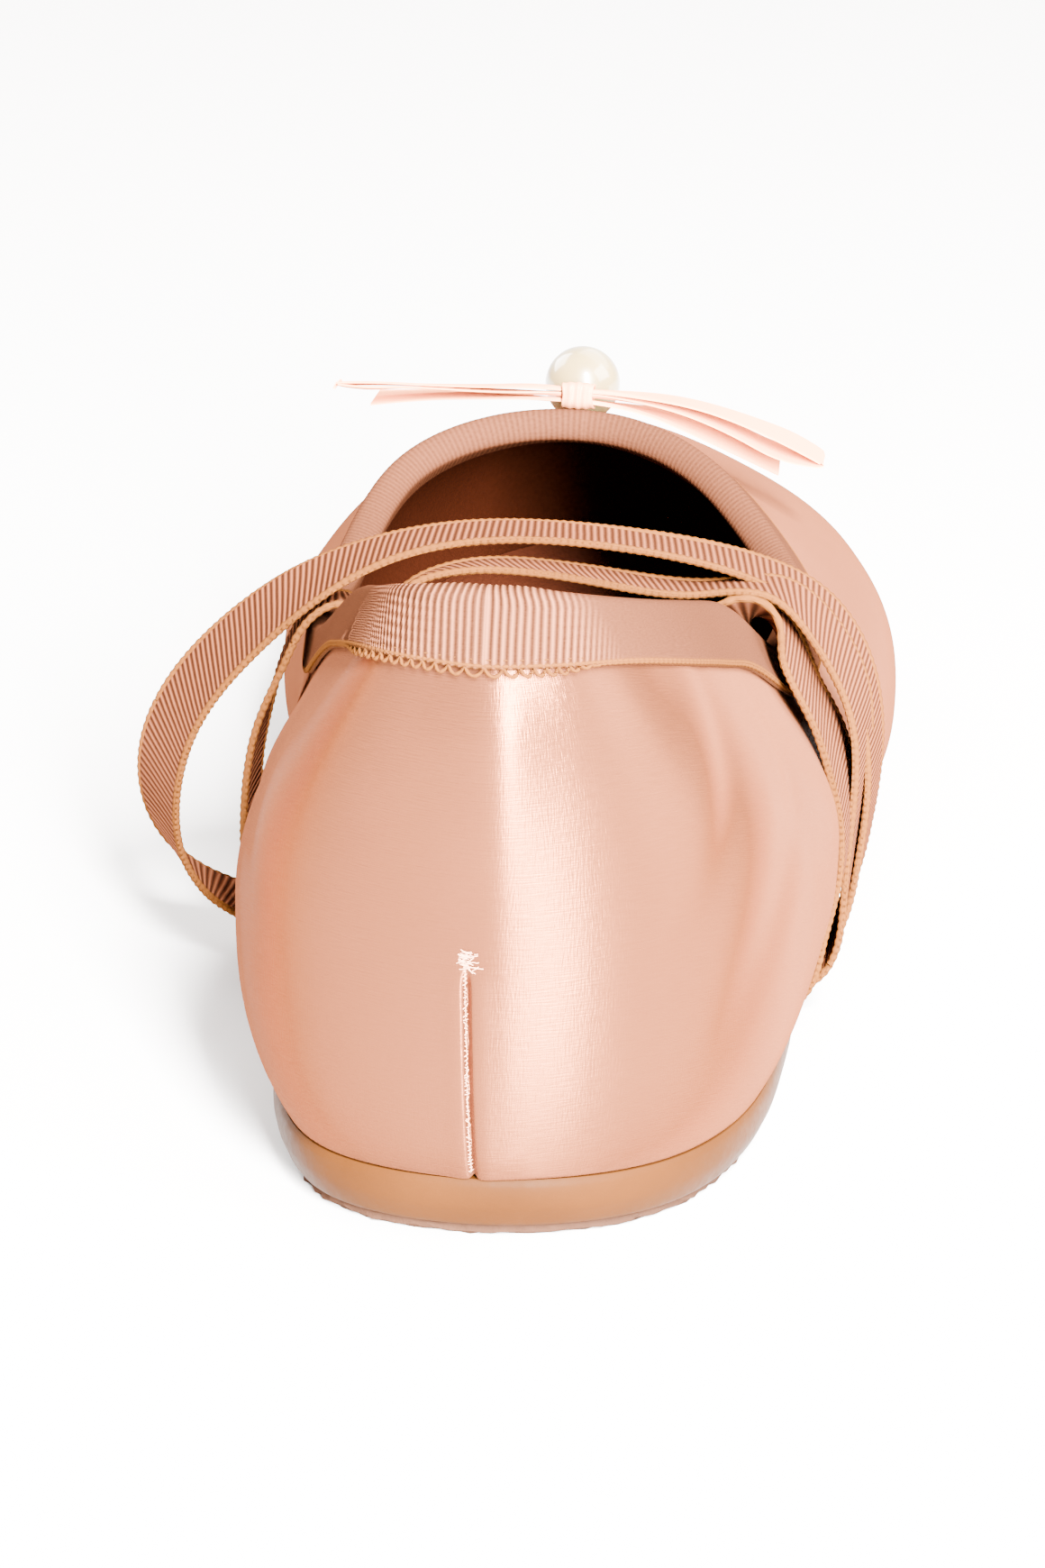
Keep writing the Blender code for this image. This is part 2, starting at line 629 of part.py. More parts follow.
def strip_faces(count, closed):
    """Faces of a strip of four corners a point, with its ends closed unless it is a ring."""
    faces = []
    for i in range(count if closed else count - 1):
        following = (i + 1) % count
        for k in range(4):
            beside = (k + 1) % 4
            faces.append((4 * i + beside, 4 * following + beside, 4 * following + k, 4 * i + k))
    if not closed:
        faces.append((3, 2, 1, 0))
        last = 4 * (count - 1)
        faces.append((last, last + 1, last + 2, last + 3))
    return faces


def make_strip(name, line, width, thickness, closed, material):
    """A ribbon along sampled rows of x, y, z, lean across, lean up and fullness."""
    middle = line[:, :3]
    if closed:
        tangent = np.roll(middle, -1, axis=0) - np.roll(middle, 1, axis=0)
    else:
        tangent = np.gradient(middle, axis=0)
    tangent /= np.linalg.norm(tangent, axis=1)[:, None]
    across = np.stack([line[:, 3], np.ones(len(line)), line[:, 4]], 1)
    corners = strip_section(middle, tangent, across, width * line[:, 5], thickness)
    return make_object(name, corners.reshape(-1, 3), strip_faces(len(line), closed), material)


def make_ankle_ribbon(name, table, steps, material):
    """One ankle ribbon through its hand-laid points."""
    get = {key: np.array(column(table, RIBBON_COLUMNS, key)) for key in RIBBON_COLUMNS}
    rows = np.stack([get["x"] * MILLIMETRE, get["along"] * MILLIMETRE - LENGTH / 2, get["z"] * MILLIMETRE,
                     get["lean_x"], get["lean_z"], np.ones(len(table))], 1)
    line = open_curve(rows, np.linspace(0, 1, steps))
    return make_strip(name, line, ANKLE_WIDTH, ANKLE_THICKNESS, False, material)


def throat_seat():
    """Height of the binding's top over the throat, where the bow sits."""
    tip = last_surface(AROUND, 1)[0][-1]
    return tip[:, 2][np.argmax(tip[:, 1])] + GAP + BINDING_THICKNESS


def bow_rows(table):
    """A bow table as rows of x, y, z, lean across, lean up and fullness."""
    get = {key: np.array(column(table, BOW_COLUMNS, key)) for key in BOW_COLUMNS}
    x = KNOT_ACROSS + get["side"] * BOW_WIDTH
    y = (KNOT_ALONG_SHARE - 0.5) * LENGTH + get["forward"] * BOW_WIDTH
    z = throat_seat() + KNOT_UP + get["up"] * BOW_WIDTH
    return np.stack([x, y, z, np.zeros(len(table)), get["lean"], get["full"]], 1)


def make_bow_loops(material):
    """Both loops of the bow as one ring of ribbon, pinched at the knot."""
    rows = bow_rows(BOW_LOOPS)
    chord = np.linalg.norm((np.roll(rows, -1, axis=0) - rows)[:, :3], axis=1)
    knots = np.concatenate([[0], np.cumsum(chord)])
    at = np.arange(LOOP_STEPS) / LOOP_STEPS * knots[-1]
    line = np.stack([ring_curve(knots, rows[:, k], at) for k in range(rows.shape[1])], 1)
    return make_strip("bow_loops", line, BOW_WIDTH, BOW_THICKNESS, True, material)


def make_bow_tails(material):
    """Short tails that lie under the loops."""
    line = open_curve(bow_rows(BOW_TAILS), np.linspace(0, 1, TAIL_STEPS))
    return make_strip("bow_tails", line, BOW_WIDTH, BOW_THICKNESS, False, material)


def make_bow_knot(material):
    """A band of ribbon wrapped round the middle of the bow."""
    layers = bow_rows(BOW_LOOPS)
    tails = bow_rows(BOW_TAILS)
    pinch = min(row[-1] for row in BOW_LOOPS)
    room = KNOT_ROOM + BOW_THICKNESS / 2
    top = layers[0][2] + BOW_THICKNESS / 2 + room
    low = tails[len(tails) // 2][2] - BOW_THICKNESS / 2 - room
    deep = BOW_WIDTH * pinch / 2 + room + BOW_THICKNESS
    y = (KNOT_ALONG_SHARE - 0.5) * LENGTH
    lean = BOW_LOOPS[0][BOW_COLUMNS.index("lean")]
    forward = np.array(column(KNOT_TURN, KNOT_COLUMNS, "forward"))
    high = np.array(column(KNOT_TURN, KNOT_COLUMNS, "high"))
    ys = y + forward * deep
    zs = (top + low) / 2 + high * (top - low) + forward * deep * lean
    middle = np.stack([np.full(len(KNOT_TURN), KNOT_ACROSS), ys, zs], 1)
    tangent = np.roll(middle, -1, axis=0) - np.roll(middle, 1, axis=0)
    tangent /= np.linalg.norm(tangent, axis=1)[:, None]
    across = np.tile([1.0, 0.0, 0.0], (len(KNOT_TURN), 1))
    corners = strip_section(middle, tangent, across, KNOT_WIDTH, BOW_THICKNESS)
    return make_object("bow_knot", corners.reshape(-1, 3), strip_faces(len(KNOT_TURN), True), material)


def make_pearl(material):
    """The pearl in front of the knot, with a flat seat that follows the vamp."""
    centre = np.array([KNOT_ACROSS, (KNOT_ALONG_SHARE - 0.5) * LENGTH + PEARL_FORWARD, throat_seat() + PEARL_UP])
    down = np.array([0, -PEARL_LEAN, -1.0])
    down /= np.linalg.norm(down)
    side = np.array([1.0, 0, 0])
    front = np.cross(down, side)
    points = [centre - down * PEARL_RADIUS]
    for i in range(1, PEARL_RINGS):
        fall = math.pi * i / PEARL_RINGS
        for j in range(PEARL_COLUMNS):
            turn = 2 * math.pi * j / PEARL_COLUMNS
            out = side * math.cos(turn) - front * math.sin(turn)
            deep = min(-math.cos(fall) * PEARL_RADIUS, PEARL_SEAT)
            points.append(centre + out * math.sin(fall) * PEARL_RADIUS + down * deep)
    points.append(centre + down * PEARL_SEAT)
    faces = []
    last = len(points) - 1
    for j in range(PEARL_COLUMNS):
        beside = (j + 1) % PEARL_COLUMNS
        faces.append((0, 1 + j, 1 + beside))
        for i in range(PEARL_RINGS - 2):
            row = 1 + i * PEARL_COLUMNS
            faces.append((row + j, row + PEARL_COLUMNS + j, row + PEARL_COLUMNS + beside, row + beside))
        row = 1 + (PEARL_RINGS - 2) * PEARL_COLUMNS
        faces.append((row + j, last, row + beside))
    return make_object("pearl", points, faces, material)


def main():
    """Clear the scene and build the shoe."""
    for thing in list(bpy.data.objects):
        bpy.data.objects.remove(thing, do_unlink=True)
    satin = make_material("satin", (0.80, 0.56, 0.47), 0.35)
    grosgrain = make_material("grosgrain", (0.72, 0.48, 0.39), 0.6)
    leather = make_material("leather", (0.72, 0.45, 0.31), 0.45)
    rough_leather = make_material("rough_leather", (0.33, 0.22, 0.16), 0.9)
    insole_cloth = make_material("insole_cloth", (0.22, 0.12, 0.08), 0.8)
    ribbon = make_material("ribbon", (0.74, 0.50, 0.41), 0.5)
    bow_satin = make_material("bow_satin", (0.80, 0.55, 0.47), 0.35)
    pearl = make_material("pearl", (0.86, 0.82, 0.74), 0.15)
    make_upper(satin)
    make_binding(grosgrain)
    make_sole(leather)
    make_lift(rough_leather)
    make_insole(insole_cloth)
    make_ankle_ribbon("ankle_ribbon_outer", OUTER_RIBBON, OUTER_RIBBON_STEPS, ribbon)
    make_ankle_ribbon("ankle_ribbon_inner", INNER_RIBBON, INNER_RIBBON_STEPS, ribbon)
    make_bow_loops(bow_satin)
    make_bow_tails(bow_satin)
    make_bow_knot(bow_satin)
    make_pearl(pearl)


main()
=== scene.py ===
"""Satin ballet flat, right shoe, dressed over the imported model.

Metres, +Z up, toe towards +Y, outer side of the foot towards +X, heel and forefoot on z = 0.
"""
import math

import bmesh
import bpy
import numpy as np
from mathutils import Matrix, Vector
from mathutils.bvhtree import BVHTree


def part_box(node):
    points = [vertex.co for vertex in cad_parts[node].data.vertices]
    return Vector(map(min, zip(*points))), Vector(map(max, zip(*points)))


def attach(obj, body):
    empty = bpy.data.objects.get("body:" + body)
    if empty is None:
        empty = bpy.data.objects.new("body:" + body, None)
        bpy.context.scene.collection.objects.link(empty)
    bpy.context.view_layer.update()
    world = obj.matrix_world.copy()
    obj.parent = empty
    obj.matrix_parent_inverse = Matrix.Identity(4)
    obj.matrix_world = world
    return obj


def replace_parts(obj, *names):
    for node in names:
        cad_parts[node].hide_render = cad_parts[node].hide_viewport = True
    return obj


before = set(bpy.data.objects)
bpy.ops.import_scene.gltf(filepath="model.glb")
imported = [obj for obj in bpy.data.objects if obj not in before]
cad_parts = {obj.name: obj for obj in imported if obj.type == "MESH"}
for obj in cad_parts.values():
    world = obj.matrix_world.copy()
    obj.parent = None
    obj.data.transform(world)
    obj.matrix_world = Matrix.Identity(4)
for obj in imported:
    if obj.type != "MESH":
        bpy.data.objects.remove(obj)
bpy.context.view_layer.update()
MM = 0.001

# Shoe sizes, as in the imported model
LENGTH = 0.245
BALL_WIDTH = 0.0846
HEEL_WIDTH = 0.0585
BACK_HEIGHT = 0.0645
SIDE_HEIGHT = 0.0335
THROAT_HEIGHT = 0.0473
FEATHER_INSET = 0.0045
WALL = 0.002
GAP = 0.0003
HEEL_HEIGHT = 0.007
HEEL_LENGTH = 0.0527
BREAST_RUN = 0.006
SOLE_THICKNESS = 0.003
ARCH_RISE = 0.0056
TOE_SPRING = 0.0075
LIFT_THICKNESS = 0.0012
EDGE_ROUND = 0.0014
INSOLE_THICKNESS = 0.0018
BINDING_OUTSIDE = 0.0073
BINDING_INSIDE = 0.0055
BINDING_THICKNESS = 0.0008
ANKLE_WIDTH = 0.015
ANKLE_THICKNESS = 0.0005
BOW_WIDTH = 0.007
BOW_THICKNESS = 0.00035
KNOT_ALONG_SHARE = 0.6649
KNOT_ACROSS = -0.0012
KNOT_UP = 0.0008
PEARL_RADIUS = 0.0051
PEARL_FORWARD = 0.0085
PEARL_UP = 0.0011
BACK = -LENGTH / 2

# The wall: where its lower part ends, its swing at the feather edge, its drop below the widest line
LOW_PART = 1 / 3
FOOT_OUT_SHARE = 0.9
FOOT_UP_SHARE = 0.27
WIDEST_DROP_SHARE = 0.4

# Sections of the last, clockwise from the heel, as shares of the named width and height and of the length
SECTION_COLUMNS = ("name", "width", "wide_x", "wide_along", "height", "wide_up", "inset",
                   "top_x", "top_along", "top_up", "rise", "slope", "reach")
SECTIONS = [
    ("heel_back", "heel", 0.0, 0.0, "back", 0.37, 0.97, 0.0, 0.012, 1.0, 0.46, 70, 0.35),
    ("heel_corner_out", "heel", 0.387, 0.031, "back", 0.375, 1.15, 0.17, 0.026, 0.981, 0.47, 64, 0.35),
    ("heel_side_out", "heel", 0.528, 0.096, "back", 0.35, 0.85, 0.288, 0.088, 0.908, 0.47, 65, 0.35),
    ("seat_out", "heel", 0.599, 0.188, "back", 0.3, 0.9, 0.368, 0.192, 0.783, 0.44, 70, 0.35),
    ("waist_out", "ball", 0.445, 0.335, "side", 0.475, 0.95, 0.327, 0.298, 1.104, 0.46, 72, 0.35),
    ("instep_out", "ball", 0.464, 0.482, "side", 0.352, 0.89, 0.361, 0.412, 0.994, 0.5, 62, 0.4),
    ("ball_out", "ball", 0.512, 0.645, "side", 0.34, 1.0, 0.337, 0.514, 1.045, 0.58, 42, 0.45),
    ("joint_out", "ball", 0.444, 0.808, "throat", 0.224, 1.0, 0.234, 0.596, 0.894, 0.62, 32, 0.5),
    ("toe_out", "ball", 0.259, 0.943, "throat", 0.15, 0.85, 0.109, 0.643, 0.98, 0.58, 24, 0.5),
    ("toe_tip", "ball", -0.047, 1.0, "throat", 0.14, 0.7, -0.012, 0.657, 1.0, 0.62, 18, 0.46),
    ("toe_in", "ball", -0.325, 0.939, "throat", 0.15, 0.85, -0.151, 0.643, 0.987, 0.58, 24, 0.5),
    ("joint_in", "ball", -0.453, 0.824, "throat", 0.224, 1.0, -0.284, 0.596, 0.894, 0.5, 35, 0.45),
    ("ball_in", "ball", -0.488, 0.7, "side", 0.34, 1.0, -0.331, 0.514, 1.045, 0.5, 46, 0.45),
    ("instep_in", "ball", -0.402, 0.506, "side", 0.376, 0.89, -0.337, 0.412, 0.994, 0.5, 62, 0.4),
    ("waist_in", "ball", -0.361, 0.343, "side", 0.505, 0.95, -0.293, 0.298, 1.104, 0.44, 74, 0.35),
    ("seat_in", "heel", -0.522, 0.188, "back", 0.29, 1.1, -0.292, 0.192, 0.783, 0.38, 66, 0.35),
    ("heel_side_in", "heel", -0.472, 0.092, "back", 0.345, 1.02, -0.213, 0.09, 0.908, 0.4, 62, 0.35),
    ("heel_corner_in", "heel", -0.34, 0.031, "back", 0.375, 0.88, -0.149, 0.029, 0.981, 0.45, 64, 0.35),
]

# Underside of the sole sheet: shares of the heel's step, the arch rise and the toe spring
WALK_COLUMNS = ("along", "heel", "arch", "spring")
WALK_LINE = [
    (0.0, 1.0, 0.0, 0.0),
    (0.14, 1.0, 0.0, 0.0),
    (0.245, 0.7, 0.43, 0.0),
    (0.367, 0.0, 1.0, 0.0),
    (0.49, 0.0, 0.57, 0.0),
    (0.59, 0.0, 0.1, 0.0),
    (0.65, 0.0, 0.0, 0.0),
    (0.765, 0.0, 0.0, 0.0),
    (0.83, 0.0, 0.0, 0.13),
    (0.918, 0.0, 0.0, 0.5),
    (1.0, 0.0, 0.0, 1.0),
]

# Middle lines of the ankle ribbons in millimetres: across the shoe, along from the heel's
# back, up from the floor, then how the ribbon's width leans across and up
RIBBON_COLUMNS = ("x", "along", "z", "lean_x", "lean_z")
OUTER_RIBBON = [
    (29.0, 65.6, 35.5, 0.0, -0.3),
    (26.1, 65.8, 40.5, 0.05, -0.4),
    (22.6, 66.2, 45.6, 0.2, -0.5),
    (22.1, 66.6, 50.1, 0.3, -0.5),
    (25.7, 67.0, 52.1, 0.3, -0.5),
    (29.5, 67.6, 48.5, 0.3, -0.4),
    (32.7, 68.2, 42.1, 0.15, -0.2),
    (35.6, 69.0, 35.5, 0.12, 0.0),
    (37.3, 69.6, 28.5, 0.1, 0.0),
    (37.2, 70.2, 20.5, 0.08, 0.0),
    (35.7, 70.8, 13.0, 0.06, 0.0),
    (34.0, 71.5, 7.0, 0.04, 0.0),
    (30.0, 72.3, 3.8, 0.0, 0.0),
    (18.9, 73.2, 3.5, 0.0, 0.0),
    (6.3, 74.1, 3.4, 0.0, 0.0),
    (-7.0, 75.0, 3.4, 0.0, 0.0),
    (-18.8, 76.0, 3.5, 0.0, 0.0),
    (-27.3, 76.8, 4.9, 0.0, 0.0),
    (-32.3, 77.4, 10.0, 0.0, 0.0),
    (-33.8, 78.0, 18.0, 0.0, 0.0),
    (-33.8, 78.7, 26.0, 0.0, 0.0),
    (-32.5, 79.5, 33.5, 0.0, -0.05),
    (-30.2, 80.5, 40.2, -0.1, -0.15),
    (-27.2, 81.4, 45.4, -0.12, -0.2),
    (-23.4, 82.0, 47.0, -0.12, -0.2),
    (-20.5, 82.4, 44.2, -0.12, -0.2),
    (-20.5, 82.7, 38.5, -0.05, -0.1),
    (-21.6, 82.9, 34.0, -0.05, 0.0),
]
INNER_RIBBON = [
    (-25.4, 65.4, 34.0, 0.0, -0.3),
    (-22.0, 65.6, 40.0, -0.05, -0.4),
    (-18.3, 65.9, 46.0, -0.2, -0.4),
    (-15.2, 68.4, 52.2, -0.1, -0.26),
    (-9.2, 70.6, 54.7, 0.0, -0.2),
    (-0.4, 72.6, 54.7, 0.0, -0.19),
    (9.5, 74.2, 53.2, 0.05, -0.18),
    (19.0, 75.4, 52.3, 0.1, -0.17),
    (27.4, 76.2, 52.3, 0.15, -0.16),
    (33.9, 76.8, 46.9, 0.15, -0.08),
    (38.2, 77.2, 38.3, 0.12, 0.0),
    (38.7, 77.7, 27.5, 0.1, 0.0),
    (37.9, 78.2, 16.5, 0.06, 0.0),
    (35.4, 79.1, 6.4, 0.0, 0.0),
    (29.2, 80.4, 2.8, 0.0, 0.0),
    (14.6, 81.8, 2.2, 0.0, 0.0),
    (-2.0, 82.8, 2.2, 0.0, 0.0),
    (-16.9, 83.6, 2.2, 0.0, 0.0),
    (-27.3, 84.6, 3.3, 0.0, 0.0),
    (-33.4, 86.0, 5.8, -0.05, -0.06),
    (-40.2, 86.6, 8.6, -0.2, -0.1),
    (-45.0, 86.0, 14.2, -0.4, -0.05),
    (-46.2, 85.0, 22.0, -0.5, 0.08),
    (-43.4, 84.0, 31.6, -0.4, 0.15),
    (-35.8, 83.2, 41.6, -0.2, 0.2),
    (-26.8, 83.0, 48.9, -0.1, 0.08),
    (-16.5, 83.2, 53.8, 0.0, -0.05),
    (-3.6, 83.8, 55.8, 0.0, -0.12),
    (9.4, 84.5, 55.2, 0.05, -0.13),
    (21.5, 85.1, 53.2, 0.1, -0.12),
    (31.8, 85.6, 48.6, 0.12, -0.08),
    (38.2, 86.0, 39.6, 0.12, 0.0),
    (40.3, 86.2, 29.2, 0.1, 0.0),
    (39.5, 86.3, 17.8, 0.08, 0.0),
    (36.5, 86.6, 7.2, 0.04, 0.0),
    (30.4, 87.6, 1.9, 0.0, 0.0),
    (15.6, 89.0, 1.0, 0.0, 0.0),
    (-0.8, 90.2, 0.9, 0.0, 0.0),
    (-15.0, 91.0, 0.9, 0.0, 0.0),
]

# The bow as shares of its width, from the knot: the inner loop lies flat, the outer one is broad and droops
BOW_COLUMNS = ("side", "forward", "up", "lean", "full")
BOW_LOOPS = [
    (0.0, 0.0, 0.2, -0.25, 0.55),
    (1.0, 0.1, 0.14, -0.15, 0.8),
    (2.4, 0.26, -0.08, -0.08, 1.0),
    (3.7, 0.36, -0.52, 0.02, 1.0),
    (4.55, 0.4, -0.92, 0.08, 0.9),
    (4.74, 0.4, -1.05, 0.08, 0.85),
    (4.4, 0.38, -1.04, 0.08, 0.9),
    (3.3, 0.32, -0.66, 0.02, 1.0),
    (1.8, 0.2, -0.08, -0.05, 0.95),
    (0.8, 0.06, 0.09, -0.1, 0.72),
    (0.0, 0.0, 0.115, -0.25, 0.55),
    (-1.0, 0.1, 0.1, -0.2, 0.8),
    (-2.3, 0.24, 0.06, -0.22, 1.0),
    (-3.6, 0.34, 0.02, -0.25, 1.0),
    (-4.5, 0.36, 0.0, -0.28, 0.9),
    (-4.7, 0.36, 0.03, -0.28, 0.85),
    (-4.4, 0.36, 0.06, -0.28, 0.9),
    (-3.2, 0.32, 0.1, -0.25, 1.0),
    (-1.7, 0.18, 0.17, -0.2, 0.92),
    (-0.7, 0.05, 0.23, -0.2, 0.7),
]
BOW_TAILS = [
    (-4.0, 0.75, -0.3, 0.05, 0.95),
    (-2.8, 0.6, -0.16, -0.05, 0.95),
    (-1.3, 0.25, -0.04, -0.15, 0.85),
    (0.0, 0.0, -0.01, -0.25, 0.55),
    (1.3, 0.2, -0.2, -0.05, 0.85),
    (2.7, 0.5, -0.68, 0.25, 0.95),
    (3.9, 0.7, -1.2, 0.4, 0.95),
]

# Creases of the quarters: side, along, up, run, climb, half width, depth
CREASES = [
    (1, 0.060, 0.62, 0.05, 0.30, 0.0045, 0.00042),
    (1, 0.085, 0.40, 0.06, 0.26, 0.0055, 0.00042),
    (1, 0.130, 0.52, 0.06, 0.20, 0.0040, 0.00030),
    (1, 0.190, 0.42, 0.07, -0.18, 0.0060, 0.00032),
    (-1, 0.100, 0.48, 0.06, 0.16, 0.0050, 0.00030),
    (-1, 0.220, 0.40, 0.06, -0.12, 0.0060, 0.00030),
]
CREASE_FLATTER = 0.9
RIDGE_SHARE = 0.8
RIDGE_ABOVE = 1.9
RIDGE_WIDER = 1.3

# Back seam: its top as a share of the wall, place and lean, groove, the pillow beside it, and its threads
SEAM_TOP = 0.40
SEAM_PLACE = -0.0006
SEAM_LEAN = -0.0022
SEAM_DEPTH = 0.0007
SEAM_HALF = 0.00034
PILLOW_HEIGHT = 0.0001
PILLOW_PLACE = 0.0013
PILLOW_HALF = 0.0011
STITCH_PITCH = 0.0005
STITCH_ASIDE = 0.00026
CORD_PITCH = 0.0012
CORD_ASIDE = 0.00024
TACK_THREADS = 40
SEAM_THREAD_RADIUS = 0.00005

# The soft ridge up the back that catches the light: its place, slope, reach and rounding
RIDGE_PLACE = 0.002
RIDGE_SLOPE = 0.17
RIDGE_REACH = 0.006
RIDGE_ROUND = 0.0018

# Grosgrain: ribs, the binding's swell, scallops and stitches, and the ankle ribbons' beaded edges
RIB_PITCH = 0.00084
RIB_HEIGHT = 0.00006
BINDING_SWELL = 0.00012
PICOT_PITCH = 0.0015
PICOT_STEPS = 10
PICOT_RADIUS = 0.0002
BINDING_STITCH_RADIUS = 0.00007
EDGE_RADIUS = 0.00046
EDGE_BEAD = 0.001
EDGE_SWELL = 0.12

# Bow: how far the gathers reach from the knot, how high they stand, and the knot's lean and squareness
GATHER_REACH = 0.009
PLEAT_HEIGHT = 0.00016
KNOT_LEAN = -0.25
KNOT_SQUARE = 0.62

# Heel lift: how ragged its worn edge is
LIFT_RAGGED = 0.00016

# Columns round the shoe, rows up the wall, points along the ribbons
UPPER_AROUND = 420
UPPER_ROWS = 70
UPPER_FINE_ROWS = 150
HEEL_SHARE = 0.02
HEEL_COLUMNS = 150
BINDING_AROUND = 2400
BINDING_FINE_ROWS = 60
RIBBON_STEP = 0.0008
EDGE_STEP = 0.00022
CORD_PATH_POINTS = 160
LOOP_STEPS = 280
TAIL_STEPS = 120
KNOT_TURNS = 72
KNOT_COLUMNS = 28
FEATHER_POINTS = 1440
SOLE_STATIONS = 150
INSOLE_STATIONS = 120

# Noise scales of the cloths, along and across the weave
SATIN_THREADS = (350, 5200, 1)
SATIN_WARP = (5200, 700, 1)
RIB_WOBBLE = (260, 160, 1)
RIBBON_FINE = (1800, 5200, 1)
RIM_THREADS = (2600, 900, 1)

# Satin: edge tint of the sheen, and how the sheen fades on the way to the silhouette
SATIN_TINT = (0.42, 0.36, 0.33, 1)
SHEEN_FADE = -2.6
SHEEN_START = 2.3

# Colours
EDGE_TAN = (0.07, 0.0235, 0.0055)
SATIN_PALE = (0.13, 0.0425, 0.0192)
SATIN_DEEP = (0.082, 0.0257, 0.0112)
BOW_PALE = (0.74, 0.26, 0.11)
BOW_DEEP = (0.60, 0.20, 0.085)
# The deep tones of the ankle ribbons and the binding are painted shade, laid in the grooves between the
# ribs; the binding's deep tone also darkens its plain cloth
RIBBON_PALE = (0.135, 0.044, 0.020)
RIBBON_DEEP_SHADE = (0.012, 0.0034, 0.0014)
BINDING_PALE = (0.125, 0.044, 0.0215)
BINDING_DEEP_SHADE = (0.009, 0.0026, 0.001)
SEAM_PINK = (0.50, 0.23, 0.14)
# Lining tones: painted shade, darkened to the shade inside the shoe
LINING_SHADE_PALE = (0.03, 0.007, 0.003)
LINING_SHADE_DEEP = (0.014, 0.0034, 0.0014)
# Insole tones: painted shade, darkened to the shade inside the shoe
INSOLE_SHADE_PALE = (0.10, 0.026, 0.012)
INSOLE_SHADE_DEEP = (0.05, 0.013, 0.006)
LEATHER_PALE = (0.036, 0.0116, 0.0022)
LEATHER_DEEP = (0.02, 0.0064, 0.0012)
WORN_PALE = (0.05, 0.022, 0.012)
WORN_DEEP = (0.008, 0.004, 0.003)
PEARL_DEEP = (0.13, 0.088, 0.030)
PEARL_PALE = (0.22, 0.16, 0.065)
FLOOR_WHITE = (0.62, 0.61, 0.605, 1)
STUDIO_AIR = (1.0, 0.90, 0.85, 1)

# Stage: where the floor bends up, the bend's radius, how far it reaches; area lights aimed at a target
BEND_START = 1.2
BEND_RADIUS = 1.2
STAGE_REACH = 4.0
STAGE_FRONT = -3.0
LIGHTS = [
    # name, place, target, width, height, power, colour
    ("key", (0.42, -1.25, 0.75), (0, -0.1, 0.035), 0.24, 1.1, 1080.0, (1.0, 0.985, 0.97)),
    ("side", (1.35, -0.2, 0.95), (0, 0, 0.03), 1.3, 1.0, 190.0, (1.0, 0.99, 0.98)),
    ("fill", (-1.1, 0.8, 0.9), (0, 0.02, 0.03), 1.1, 0.9, 110.0, (1.0, 0.97, 0.95)),
    ("top", (0.55, 0.85, 1.2), (0, 0.1, 0), 1.6, 1.2, 70.0, (1.0, 0.97, 0.95)),
]

# Camera: the photograph's place against the shoe, turned to it and zoomed in
EYE = Vector((0.03612, -0.57157, 0.20556))
HEADING = math.radians(-8.67)
PITCH = math.radians(18.98)
PHOTO_FOCAL = 2571.9
AIM_RIGHT = 196.0
AIM_UP = 8.0
ZOOM = 2.02
FRAME_HEIGHT = 1740
SENSOR = 36.0


def add_object(name, data):
    """A new object in the scene."""
    thing = bpy.data.objects.new(name, data)
    bpy.context.scene.collection.objects.link(thing)
    return thing


def make_camera():
    """The camera of the photograph, turned the short way round to the shoe."""
    level = math.cos(PITCH)
    look = Vector((math.sin(HEADING) * level, math.cos(HEADING) * level, -math.sin(PITCH)))
    right = Vector((math.cos(HEADING), -math.sin(HEADING), 0))
    up = right.cross(look)
    aim = (look * PHOTO_FOCAL + right * AIM_RIGHT + up * AIM_UP).normalized()
    turn = look.rotation_difference(aim).to_matrix()
    axes = Matrix((right, up, -look)).transposed()
    data = bpy.data.cameras.new("camera")
    data.sensor_fit = "VERTICAL"
    data.sensor_height = SENSOR
    data.lens = SENSOR * PHOTO_FOCAL * ZOOM / FRAME_HEIGHT
    data.clip_start = 0.01
    data.clip_end = 20
    camera = add_object("camera", data)
    camera.matrix_world = Matrix.Translation(EYE) @ (turn @ axes).to_4x4()
    bpy.context.scene.camera = camera


def by_column(table, columns):
    """A table's columns by name."""
    return {name: np.array([row[index] for row in table]) for index, name in enumerate(columns)}


def on_cubic(values, bend, i, after, step, past):
    """Points on smooth cubic pieces, from their ends, the bend at each end and the way past the first."""
    left = step - past
    curve = (bend[i] * left**3 + bend[after] * past**3) / (6 * step)
    curve += (values[i] / step - bend[i] * step / 6) * left
    return curve + (values[after] / step - bend[after] * step / 6) * past


def ring_curve(knots, values, at):
    """The closed smooth cubic through values at knots; the last knot closes the ring."""
    count = len(values)
    step = np.diff(knots)
    system = np.zeros((count, count))
    bend = np.zeros(count)
    for i in range(count):
        before = (i - 1) % count
        after = (i + 1) % count
        system[i, before] += step[before]
        system[i, i] += 2 * (step[before] + step[i])
        system[i, after] += step[i]
        bend[i] = 6 * ((values[after] - values[i]) / step[i] - (values[i] - values[before]) / step[before])
    moment = np.linalg.solve(system, bend)
    at = np.mod(at, knots[-1])
    i = np.clip(np.searchsorted(knots, at, "right") - 1, 0, count - 1)
    after = (i + 1) % count
    return on_cubic(values, moment, i, after, step[i], at - knots[i])


